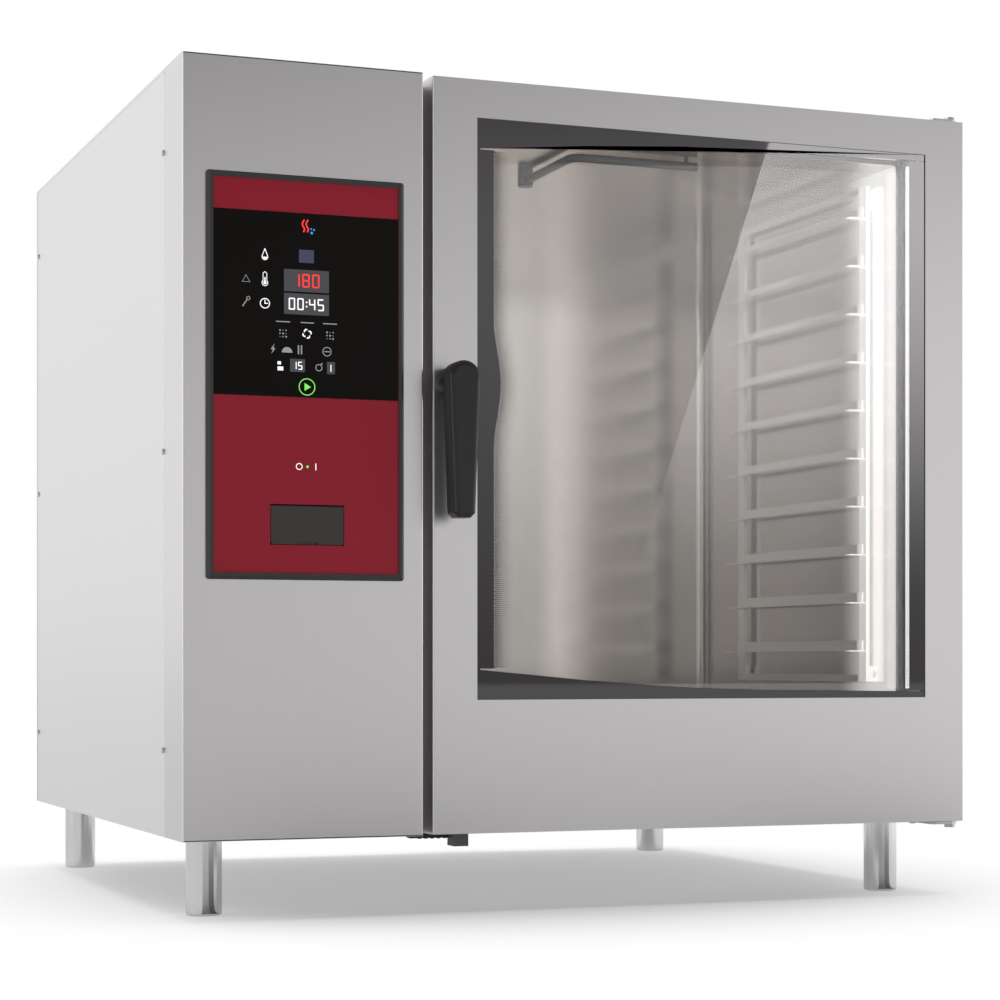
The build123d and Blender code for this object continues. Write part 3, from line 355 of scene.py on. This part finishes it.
# Dark strips of painted shade along the column's top and bottom hems.
for label, z0 in (("top", hi.z - HEM_INSET - HEM_WIDTH), ("bottom", lo.z + HEM_INSET)):
    hem = box_mesh(f"column_hem_{label}", (lo.x + 0.002, lo.y - FOLD_PROUD, z0),
                   (hi.x - 0.001, lo.y - FOLD_BACK, z0 + HEM_WIDTH))
    new_piece(f"column_hem_{label}", hem, painted_hem_shade, "cabinet")

# ------------------------------------------------------------------ cavity liner
# Bright rolled stainless, half a mirror, with a warm cast, faint upright lines and haze.
def liner_recipe(name, tint, rough, metal=1.0):
    steel = Recipe(name, Metallic=metal)
    haze = steel.noise(3.0, 2.0)
    lines = steel.noise(1.0, 2.0, steel.stretched((300.0, 300.0, 2.0)))
    steel.feed("Base Color", steel.blend(haze * 0.6 + lines * 0.4, tuple(c * 0.88 for c in tint), tint))
    steel.feed("Roughness", rough + haze * 0.06)
    steel.bump(steel.noise(9.0, 1.0), 0.04, 0.004)
    return steel


def liner_steel(name, tint, rough, metal=1.0):
    return liner_recipe(name, tint, rough, metal).material


def painted_glow_steel(name, tint, rough, metal, near, far, painted_glow_tint):
    """Liner steel with a painted glow, as if a lamp at the door lit it: an emission that fades out between
    two distances from the front.
    """
    steel = liner_recipe(name, tint, rough, metal)
    wash = steel.ease(steel.axes()[1], near, far, 1.0, 0.0)
    # The glow is painted light: an emission colour, not light from a lamp.
    steel.feed("Emission Color", steel.blend(wash, (0.0, 0.0, 0.0), painted_glow_tint))
    steel.shader.inputs["Emission Strength"].default_value = 1.0
    return steel.material


# The right wall, a hand's width from the door's lamp, has that lamp's light painted on it as a glow near the
# front.
liner = liner_steel("liner_steel", (0.66, 0.60, 0.56), 0.13, 0.92)
wall_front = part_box("liner_right")[0].y
finish_node(painted_glow_steel("wall_painted_glow", (0.56, 0.50, 0.465), 0.13, 0.93, wall_front + 0.05, wall_front + 0.17,
                         (0.60, 0.59, 0.585)), "liner_right")
finish_node(liner, "liner_back", "liner_left", "liner_ceiling", "liner_floor", "baffle_plate",
            "fan_upper", "fan_lower", "drain_grate")
finish_node(liner_steel("dark_tube", (0.1, 0.09, 0.085), 0.35), "wash_pipe")

# The racks are brighter wire and strip. The front post of the right one has the lamp's light painted on it as
# a glow.
RACK_TINT = (0.92, 0.87, 0.84)
rack_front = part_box("rack_right")[0].y
finish_node(liner_steel("rack_steel", RACK_TINT, 0.22, 0.8), "rack_left")
# Painted light: a glow on the right rack's front post.
finish_node(painted_glow_steel("rack_painted_glow", RACK_TINT, 0.22, 0.8, rack_front + 0.018, rack_front + 0.03,
                         (0.45, 0.44, 0.43)), "rack_right")

# Legs, feet and pipes are polished tube.
tube_steel = liner_steel("tube_steel", (0.74, 0.725, 0.735), 0.1)
for corner in ("front_left", "front_right", "rear_left", "rear_right"):
    finish_node(tube_steel, f"leg_{corner}", f"foot_{corner}")
finish_node(tube_steel, "exhaust_pipe", "relief_pipe", "drain_pipe")

# The cavity lamp's light, spread by the walls, is a warm glow from the mouth's upper right.
mouth_lo, mouth_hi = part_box("liner_ceiling")
WARM = (1.0, 0.93, 0.88)
ceiling_glow = soft_light("cavity_glow", (mouth_hi.x - 0.25, mouth_lo.y + 0.12, mouth_lo.z - 0.06),
                          (mouth_lo.x + 0.2, mouth_hi.y - 0.1, 0.55), (0.5, 0.12), 2.4, WARM)
ceiling_glow.visible_glossy = False
ceiling_glow.visible_transmission = False

# ------------------------------------------------------------------ glass
# Tempered panes. Light from the lamps passes straight through, as through any thin pane.
def pane(name, tint):
    glass = Recipe(name, Roughness=0.0, IOR=1.45, Transmission_Weight=1.0, Base_Color=tint)
    clear = glass.tree.nodes.new("ShaderNodeBsdfTransparent")
    clear.inputs[0].default_value = (*tint, 1)
    ray = glass.tree.nodes.new("ShaderNodeLightPath")
    either = Field(glass, ray.outputs["Is Shadow Ray"]).most(Field(glass, ray.outputs["Is Diffuse Ray"]))
    mix = glass.tree.nodes.new("ShaderNodeMixShader")
    glass.tree.links.new(either.socket, mix.inputs[0])
    glass.tree.links.new(glass.shader.outputs[0], mix.inputs[1])
    glass.tree.links.new(clear.outputs[0], mix.inputs[2])
    glass.tree.links.new(mix.outputs[0], glass.output.inputs[0])
    return glass.material


clear_pane = pane("clear_pane", (0.97, 0.98, 0.98))
finish_node(clear_pane, "outer_glass", "inner_glass")

# ------------------------------------------------------------------ window print
# Dark ceramic ink fired on to the outer pane: side strips, top and bottom bands that thin to
# the right, and half-tone dots that fade into the clear glass.
glass_lo, glass_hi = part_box("outer_glass")
frame_lo, frame_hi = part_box("door_outer_frame")
INK_OUT, INK_IN = 0.0002, 0.00005         # ink's outer and inner face, ahead of the pane
WINDOW_L, WINDOW_R = frame_lo.x + 0.062, frame_hi.x - 0.062
WINDOW_LOW, WINDOW_HIGH = frame_lo.z + 0.175, frame_hi.z - 0.050
STRIP_L, STRIP_R = 0.024, 0.025           # width of the side strips
BULGE, BULGE_Z, BULGE_HALF = 0.010, 0.6936, 0.085
BAND_STOPS = ((0.0, 0.040), (0.16, 0.025), (0.30, 0.0155), (0.44, 0.011), (0.672, 0.0085))
SLIT = 0.0011                             # clear slit between strips and bands


def band_depth(x):
    """How deep the top or bottom band is at a distance from the window's left edge."""
    for (x0, d0), (x1, d1) in zip(BAND_STOPS, BAND_STOPS[1:]):
        if x <= x1:
            break
    return d0 + (d1 - d0) * min(1.0, (x - x0) / (x1 - x0))


def bulge(z):
    """How far the left strip swells beside the handle, at a height."""
    swell = max(0.0, 1 - abs(z - BULGE_Z) / BULGE_HALF)
    return BULGE * swell * swell * (3 - 2 * swell)


def plate(name, outline, y_out, y_in, material, body):
    """A thin closed plate that faces the front, from an outline of (x, z) points."""
    made = bmesh.new()
    made.faces.new([made.verts.new((x, y_out, z)) for x, z in outline])
    bmesh.ops.triangulate(made, faces=made.faces[:])
    thick = bmesh.ops.extrude_face_region(made, geom=made.faces[:])
    for item in thick["geom"]:
        if isinstance(item, bmesh.types.BMVert):
            item.co.y = y_in
    bmesh.ops.recalc_face_normals(made, faces=made.faces[:])
    mesh = bpy.data.meshes.new(name)
    made.to_mesh(mesh)
    made.free()
    return new_piece(name, mesh, material, body)


ink = Recipe("fired_ink", Roughness=0.02, Specular_IOR_Level=0.7, Base_Color=(0.026, 0.021, 0.025)).material
ink_y, ink_back = glass_lo.y - INK_OUT, glass_lo.y - INK_IN
BAND_STEPS, EDGE_STEPS = 60, 80
across_window = [(WINDOW_R - WINDOW_L) * i / BAND_STEPS for i in range(BAND_STEPS + 1)]
top_band = ([(WINDOW_L, WINDOW_HIGH), (WINDOW_R, WINDOW_HIGH)]
            + [(WINDOW_L + x, WINDOW_HIGH - band_depth(x)) for x in reversed(across_window)])
bottom_band = ([(WINDOW_R, WINDOW_LOW), (WINDOW_L, WINDOW_LOW)]
               + [(WINDOW_L + x, WINDOW_LOW + band_depth(x)) for x in across_window])
strip_low = WINDOW_LOW + BAND_STOPS[0][1] + SLIT
strip_high = WINDOW_HIGH - BAND_STOPS[0][1] - SLIT
strip_heights = [strip_low + (strip_high - strip_low) * i / EDGE_STEPS for i in range(EDGE_STEPS + 1)]
left_edge = [(WINDOW_L + STRIP_L + bulge(z), z) for z in strip_heights]
left_strip = [(WINDOW_L, strip_high), (WINDOW_L, strip_low)] + left_edge
right_deep = BAND_STOPS[-1][1] + SLIT
right_strip = [(WINDOW_R, WINDOW_LOW + right_deep), (WINDOW_R, WINDOW_HIGH - right_deep),
               (WINDOW_R - STRIP_R, WINDOW_HIGH - right_deep), (WINDOW_R - STRIP_R, WINDOW_LOW + right_deep)]
print_pieces = [plate(name, outline, ink_y, ink_back, ink, "door")
                for name, outline in (("print_top", top_band), ("print_bottom", bottom_band),
                                      ("print_left", left_strip), ("print_right", right_strip))]

# Half-tone dots: rows of discs that shrink away from the strip.
DOT_PITCH = 0.003
DOT_ROW = 0.0026
DOT_LARGE, DOT_SMALL = 0.00142, 0.0003
DOT_COLUMNS = 8


def dot_tree():
    """A sheet of discs in staggered rows, largest in the first column."""
    tree = bpy.data.node_groups.new("half_tone", "GeometryNodeTree")
    tree.is_modifier = True
    tree.interface.new_socket("Geometry", in_out="OUTPUT", socket_type="NodeSocketGeometry")
    for label, kind in (("Columns", "NodeSocketInt"), ("Rows", "NodeSocketInt"), ("Pitch", "NodeSocketFloat"),
                        ("Row Step", "NodeSocketFloat"), ("Large", "NodeSocketFloat"),
                        ("Small", "NodeSocketFloat"), ("Ink", "NodeSocketMaterial")):
        tree.interface.new_socket(label, in_out="INPUT", socket_type=kind)
    geo = Nodes(tree)
    given = tree.nodes.new("NodeGroupInput")
    result = tree.nodes.new("NodeGroupOutput")
    columns, rows, pitch, row_step, large, small, ink_in = [Field(geo, given.outputs[i]) for i in range(7)]
    width = (columns - 1.0) * pitch
    height = (rows - 1.0) * row_step
    points = geo.node("GeometryNodeMeshGrid", None, {"Size X": width, "Size Y": height,
                                                     "Vertices X": columns, "Vertices Y": rows})
    index = geo.node("GeometryNodeInputIndex")
    row = geo.node("ShaderNodeMath", {"operation": "MODULO"}, {0: index, 1: rows})
    odd = geo.node("ShaderNodeMath", {"operation": "MODULO"}, {0: row, 1: 2.0})
    shift = geo.node("ShaderNodeCombineXYZ", None, {0: odd * pitch * 0.5 + width * 0.5})
    moved = geo.node("GeometryNodeSetPosition", None, {"Geometry": points, "Offset": shift})
    distance = geo.split(geo.node("GeometryNodeInputPosition"))[0]
    size = large - (large - small) * (distance / (width + pitch * 0.5))
    disc = geo.node("GeometryNodeMeshCircle", {"fill_type": "NGON"}, {"Vertices": 8, "Radius": 1.0})
    scale = geo.node("ShaderNodeCombineXYZ", None, {0: size, 1: size, 2: size})
    spread = geo.node("GeometryNodeInstanceOnPoints", None,
                      {"Points": moved, "Instance": disc, "Scale": scale})
    solid = geo.node("GeometryNodeRealizeInstances", None, {0: spread})
    inked = geo.node("GeometryNodeSetMaterial", None, {"Geometry": solid, "Material": ink_in})
    tree.links.new(inked.socket, result.inputs[0])
    return tree


half_tone = dot_tree()


def dot_band(name, start_x, towards, low, high, bend=None):
    """A band of dots beside a strip. It runs right (1) or left (-1) from the strip's edge."""
    holder = bpy.data.objects.new(name + "_maker", bpy.data.meshes.new(name + "_maker"))
    bpy.context.scene.collection.objects.link(holder)
    modifier = holder.modifiers.new("dots", "NODES")
    modifier.node_group = half_tone
    settings = {"Columns": DOT_COLUMNS, "Rows": int((high - low) / DOT_ROW), "Pitch": DOT_PITCH,
                "Row Step": DOT_ROW, "Large": DOT_LARGE, "Small": DOT_SMALL, "Ink": ink}
    for item in half_tone.interface.items_tree:
        if item.in_out == "INPUT":
            modifier[item.identifier] = settings[item.name]
    ready = holder.evaluated_get(bpy.context.evaluated_depsgraph_get())
    mesh = bpy.data.meshes.new_from_object(ready)
    bpy.data.objects.remove(holder)
    middle = (low + high) / 2
    for vertex in mesh.vertices:
        across_band, along_band = vertex.co.x, vertex.co.y
        z = middle + along_band
        x = start_x + towards * (across_band + DOT_LARGE * 0.9)
        vertex.co = (x + (bend(z) if bend else 0), ink_y, z)
    mesh.update()
    if mesh.polygons[0].normal.y > 0:
        mesh.flip_normals()
    return new_piece(name, mesh, ink, "door")


print_pieces.append(dot_band("print_dots_left", WINDOW_L + STRIP_L, 1, strip_low, strip_high, bulge))
print_pieces.append(dot_band("print_dots_right", WINDOW_R - STRIP_R, -1, WINDOW_LOW + right_deep + 0.001,
                             WINDOW_HIGH - right_deep - 0.001))

# ------------------------------------------------------------------ glare card
# A soft card in front of the oven shows in the door's glass as a slanted sheen. It lights the
# glass alone, and fades towards its lower end.
GLARE_STRENGTH = 6.0
GLARE_FROM, GLARE_TO = 0.5, 1.9          # the heights between which it brightens
CARD_Y = -4.6
glare = Recipe("glare_card")
glare_z = glare.axes()[2]
glare_light = glare.node("ShaderNodeEmission", None,
                         {"Color": (1.0, 0.97, 0.98, 1),
                          "Strength": glare.ease(glare_z, GLARE_FROM, GLARE_TO, 0.0, GLARE_STRENGTH)})
glare_clear = glare.node("ShaderNodeBsdfTransparent")
glare_sum = glare.node("ShaderNodeAddShader", None, {0: glare_light, 1: glare_clear})
glare.tree.links.new(glare_sum.socket, glare.output.inputs[0])
CARD_TOP, CARD_LOW = (2.363, 2.006), (1.761, 0.211)   # the card's slanted edge, (x, z)
CARD_WIDE = 2.6
EDGE_RUN, EDGE_RISE = 0.084, 0.25        # how far the slanted edge runs on past its top point
card_high = CARD_TOP[1] + EDGE_RISE
card = stage_sheet("glare_card", [(CARD_LOW[0], CARD_Y, CARD_LOW[1]),
                                  (CARD_LOW[0] + CARD_WIDE, CARD_Y, CARD_LOW[1]),
                                  (CARD_TOP[0] + CARD_WIDE, CARD_Y, card_high),
                                  (CARD_TOP[0] + EDGE_RUN, CARD_Y, card_high)], glare.material)
card.visible_camera = False
card.visible_diffuse = False
card.visible_transmission = False
card.visible_shadow = False
glazing = bpy.data.collections.new("glazing")
for piece in print_pieces + [nodes["outer_glass"]]:
    glazing.objects.link(piece)
card.light_linking.receiver_collection = glazing

# ------------------------------------------------------------------ lamp strip
# A lit white diffuser down the door's hinge side.
LAMP_LEVEL = 1.8
lamp_glow = Recipe("lamp_glow", Roughness=0.4, Emission_Color=(1, 0.98, 0.96), Emission_Strength=LAMP_LEVEL)
finish_node(lamp_glow.material, "led_strip")


# ------------------------------------------------------------------ moulded and small parts
# Dark plastics, rubber and enamel, each with a fine moulded texture.
def moulded(name, tint, rough, grain=900.0):
    plastic = Recipe(name, Specular_IOR_Level=0.35)
    texture = plastic.noise(grain, 2.0)
    plastic.feed("Base Color", plastic.blend(texture, tuple(c * 0.85 for c in tint), tint))
    plastic.feed("Roughness", rough - 0.05 + texture * 0.1)
    plastic.bump(texture, 0.15, 0.0003)
    return plastic.material


finish_node(moulded("bezel_moulding", (0.045, 0.043, 0.042), 0.42), "control_bezel", "usb_socket")
finish_node(moulded("handle_moulding", (0.022, 0.019, 0.02), 0.34), "handle_lever")
finish_node(moulded("flap_moulding", (0.052, 0.043, 0.043), 0.4), "usb_flap")
finish_node(moulded("silicone", (0.03, 0.027, 0.026), 0.6), "door_gasket", "drip_hose")
finish_node(moulded("tray_moulding", (0.1, 0.1, 0.098), 0.5), "drip_tray")
finish_node(moulded("inner_moulding", (0.04, 0.04, 0.045), 0.5), "display_module", "contactor_rail",
            "cable_gland")
finish_node(moulded("motor_enamel", (0.06, 0.07, 0.09), 0.35), "fan_motor_upper", "fan_motor_lower")
finish_node(moulded("wool", (0.7, 0.6, 0.3), 0.95, 300.0), "insulation_wrap")
finish_node(moulded("board_lacquer", (0.02, 0.16, 0.06), 0.35), "control_board")
finish_node(liner_steel("element_sheath", (0.3, 0.26, 0.24), 0.35), "heating_element_upper",
            "heating_element_lower")
finish_node(liner_steel("valve_brass", (0.75, 0.56, 0.27), 0.25), "water_valve_cold", "water_valve_soft")

# ------------------------------------------------------------------ control fascia
# A printed film: red at the top and below, with a black display window between. The window is
# a thin glossy sheet laid on the film, and its marks are lit from behind.
fascia_red = Recipe("fascia_red", Roughness=0.35, Specular_IOR_Level=0.2, Base_Color=(0.345, 0.013, 0.030))
finish_node(fascia_red.material, "control_fascia")
fascia_lo, fascia_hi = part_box("control_fascia")
case_left = casing_lo.x
MM = 0.001
SHEET_THICK = 0.0003
MARK_THICK = 0.00015
BLACK_LOW, BLACK_HIGH = 0.665, 0.899
display_black = Recipe("display_black", Roughness=0.15, Specular_IOR_Level=0.06,
                       Base_Color=(0.0065, 0.0045, 0.004)).material
plate("display_sheet", [(fascia_lo.x + 0.0005, BLACK_LOW), (fascia_hi.x - 0.0005, BLACK_LOW),
                        (fascia_hi.x - 0.0005, BLACK_HIGH), (fascia_lo.x + 0.0005, BLACK_HIGH)],
      fascia_lo.y - SHEET_THICK, fascia_lo.y - 0.00002, display_black, "cabinet")
mark_y = fascia_lo.y - SHEET_THICK - MARK_THICK


LIT_SEGMENTS = {"0": "abcdef", "1": "bc", "4": "bcfg", "5": "acdfg", "8": "abcdefg"}


class Marks:
    """Marks of one colour on the fascia, in millimetres across and up, as one thin mesh."""

    def __init__(self):
        self.mesh = bmesh.new()

    def shape(self, points):
        self.mesh.faces.new([self.mesh.verts.new((case_left + w * MM, mark_y, z * MM)) for w, z in points])

    def disc(self, w, z, radius, steps=24):
        angles = [2 * math.pi * i / steps for i in range(steps)]
        self.shape([(w + radius * math.cos(t), z + radius * math.sin(t)) for t in angles])

    def arc(self, w, z, radius, width, start=0, end=360, steps=28):
        angles = [math.radians(start + (end - start) * i / steps) for i in range(steps + 1)]
        for a, b in zip(angles, angles[1:]):
            self.shape([(w + r * math.cos(t), z + r * math.sin(t))
                        for r, t in ((radius, a), (radius, b), (radius - width, b), (radius - width, a))])

    def bar(self, w0, z0, w1, z1, width):
        long = math.hypot(w1 - w0, z1 - z0)
        side_w, side_z = -(z1 - z0) / long * width / 2, (w1 - w0) / long * width / 2
        self.shape([(w0 + side_w, z0 + side_z), (w0 - side_w, z0 - side_z),
                    (w1 - side_w, z1 - side_z), (w1 + side_w, z1 + side_z)])

    def path(self, points, width):
        """A line through a row of points."""
        for (w0, z0), (w1, z1) in zip(points, points[1:]):
            self.bar(w0, z0, w1, z1, width)

    def digits(self, text, w, z, high, thick):
        """Seven-segment figures, from their lower left corner."""
        wide = high * 0.5
        ends = {"a": (0, 1, 1, 1), "b": (1, 0.5, 1, 1), "c": (1, 0, 1, 0.5), "d": (0, 0, 1, 0),
                "e": (0, 0, 0, 0.5), "f": (0, 0.5, 0, 1), "g": (0, 0.5, 1, 0.5)}
        for figure in text:
            if figure == ":":
                self.disc(w, z + high * 0.3, thick * 0.7, 8)
                self.disc(w, z + high * 0.7, thick * 0.7, 8)
                w += high * 0.3
                continue
            for segment in LIT_SEGMENTS[figure]:
                u0, v0, u1, v1 = ends[segment]
                self.bar(w + u0 * wide, z + v0 * high, w + u1 * wide, z + v1 * high, thick)
            w += wide + high * 0.34

    def lay(self, name, material):
        bmesh.ops.remove_doubles(self.mesh, verts=self.mesh.verts[:], dist=0.000001)
        thick = bmesh.ops.extrude_face_region(self.mesh, geom=self.mesh.faces[:])
        for item in thick["geom"]:
            if isinstance(item, bmesh.types.BMVert):
                item.co.y = mark_y + MARK_THICK - 0.00002
        bmesh.ops.recalc_face_normals(self.mesh, faces=self.mesh.faces[:])
        mesh = bpy.data.meshes.new(name)
        self.mesh.to_mesh(mesh)
        self.mesh.free()
        new_piece(name, mesh, material, "cabinet")


def lit(name, tint, level):
    return Recipe(name, Roughness=0.4, Base_Color=tint, Emission_Color=tint, Emission_Strength=level).material


screens = Marks()
for w0, z0, w1, z1 in ((130, 770, 189.4, 796.7), (130, 799, 189.4, 827), (138, 697, 157.6, 713.5),
                       (186.8, 696, 197.4, 711.5)):
    screens.shape([(w0, z0), (w1, z0), (w1, z1), (w0, z1)])
screens.lay("screens_grey", lit("lit_grey", (0.045, 0.043, 0.05), 0.6))
blue_screen = Marks()
blue_screen.shape([(149.7, 836), (169.5, 836), (169.5, 852.6), (149.7, 852.6)])
blue_screen.lay("screen_blue", lit("lit_slate", (0.035, 0.04, 0.085), 0.6))

mark_y = mark_y - MARK_THICK
white_marks = Marks()
white_marks.digits("00:45", 137, 776.5, 13.5, 1.7)
white_marks.digits("15", 141.5, 700.5, 9, 1.3)
white_marks.digits("1", 187.5, 699, 9, 1.3)
white_marks.arc(105, 782, 6.6, 1.2)
white_marks.bar(105, 781.6, 105, 786.5, 1.2)
white_marks.bar(104.6, 782, 109, 782, 1.2)
white_marks.disc(105, 808, 2.2)
white_marks.bar(105, 809.5, 105, 815, 1.5)
white_marks.arc(105, 808, 4.2, 0.9, 125, 415)
white_marks.path([(102.6, 811.4), (102.6, 820), (105, 822), (107.4, 820), (107.4, 811.4)], 0.9)
white_marks.path([(101.2, 841.5), (105, 851), (108.8, 841.5)], 1.0)
white_marks.arc(105, 840.8, 4.2, 1.0, 170, 370)
white_marks.shape([(105 + 2.9 * math.cos(math.radians(t)), 840.8 + 2.9 * math.sin(math.radians(t)))
                   for t in range(180, 361, 20)])
for i in range(4):
    turn = 90 * i + 20
    blade = math.radians(turn)
    white_marks.arc(160.3 + 3.4 * math.cos(blade), 746 + 3.4 * math.sin(blade), 3.0, 1.7,
                    turn - 60, turn + 100, 10)
white_marks.bar(121.5, 700.5, 129, 700.5, 5)
white_marks.bar(121.5, 707.5, 126, 707.5, 4)
white_marks.arc(150, 577, 4.4, 1.1)
white_marks.bar(172, 572.8, 172, 581.4, 1.3)
white_marks.lay("marks_white", lit("lit_white", (0.78, 0.78, 0.78), 0.85))

grey_marks = Marks()
grey_marks.arc(80.4, 811, 6.2, 1.1, 90, 450, 3)
grey_marks.bar(75.9, 777, 82, 786, 1.4)
grey_marks.arc(83.4, 787.4, 2.6, 1.0)
for w0, w1 in ((119.5, 138), (152, 169.5), (181.5, 200)):
    grey_marks.bar(w0, 760, w1, 760, 1.3)
for w in (128.7, 190.8):
    for row in range(3):
        for column in range(3):
            grey_marks.disc(w - 4 + 4 * column, 741 + 4 * row, 0.6 + 0.3 * ((row + column) % 3), 10)
grey_marks.shape([(117.5, 731.5), (112.5, 724.4), (115.3, 724.4), (113.6, 718.6), (118.7, 725.8),
                  (116, 725.8)])
dome = [math.radians(t) for t in range(15, 180, 15)]
grey_marks.shape([(127, 721), (141, 721)] + [(134 + 7 * math.cos(t), 721 + 7 * math.sin(t)) for t in dome])
grey_marks.bar(149, 719.5, 149, 731, 1.7)
grey_marks.bar(153, 719.5, 153, 731, 1.7)
grey_marks.arc(186.8, 724.4, 6, 1.0)
grey_marks.bar(183, 724.4, 190.6, 724.4, 1.2)
grey_marks.arc(176, 703.5, 4.6, 1.1)
grey_marks.bar(178.6, 706.8, 180.6, 709.4, 1.4)
grey_marks.lay("marks_grey", lit("lit_dim", (0.24, 0.24, 0.24), 0.7))

red_marks = Marks()
red_marks.digits("180", 142, 805.5, 15.5, 2.0)
for w in (155.5, 160.5):
    for i in range(6):
        z0, z1 = 875 + 2.6 * i, 877.8 + 2.6 * i
        red_marks.bar(w + 1.6 * math.sin(i * 1.2), z0, w + 1.6 * math.sin((i + 1) * 1.2), z1, 1.9)
red_marks.lay("marks_red", lit("lit_red", (0.75, 0.03, 0.03), 0.9))

blue_marks = Marks()
for w, z, r in ((166.5, 874.5, 1.7), (169.5, 878.5, 1.3), (165.6, 879.5, 1.1)):
    blue_marks.disc(w, z, r, 12)
blue_marks.lay("marks_blue", lit("lit_blue", (0.03, 0.25, 0.6), 0.8))

green_marks = Marks()
green_marks.arc(160.3, 678.4, 11, 1.2)
green_marks.shape([(157, 673.4), (165.6, 678.4), (157, 683.4)])
green_marks.disc(161, 577, 1.7)
green_marks.lay("marks_green", lit("lit_green", (0.16, 0.62, 0.08), 0.9))
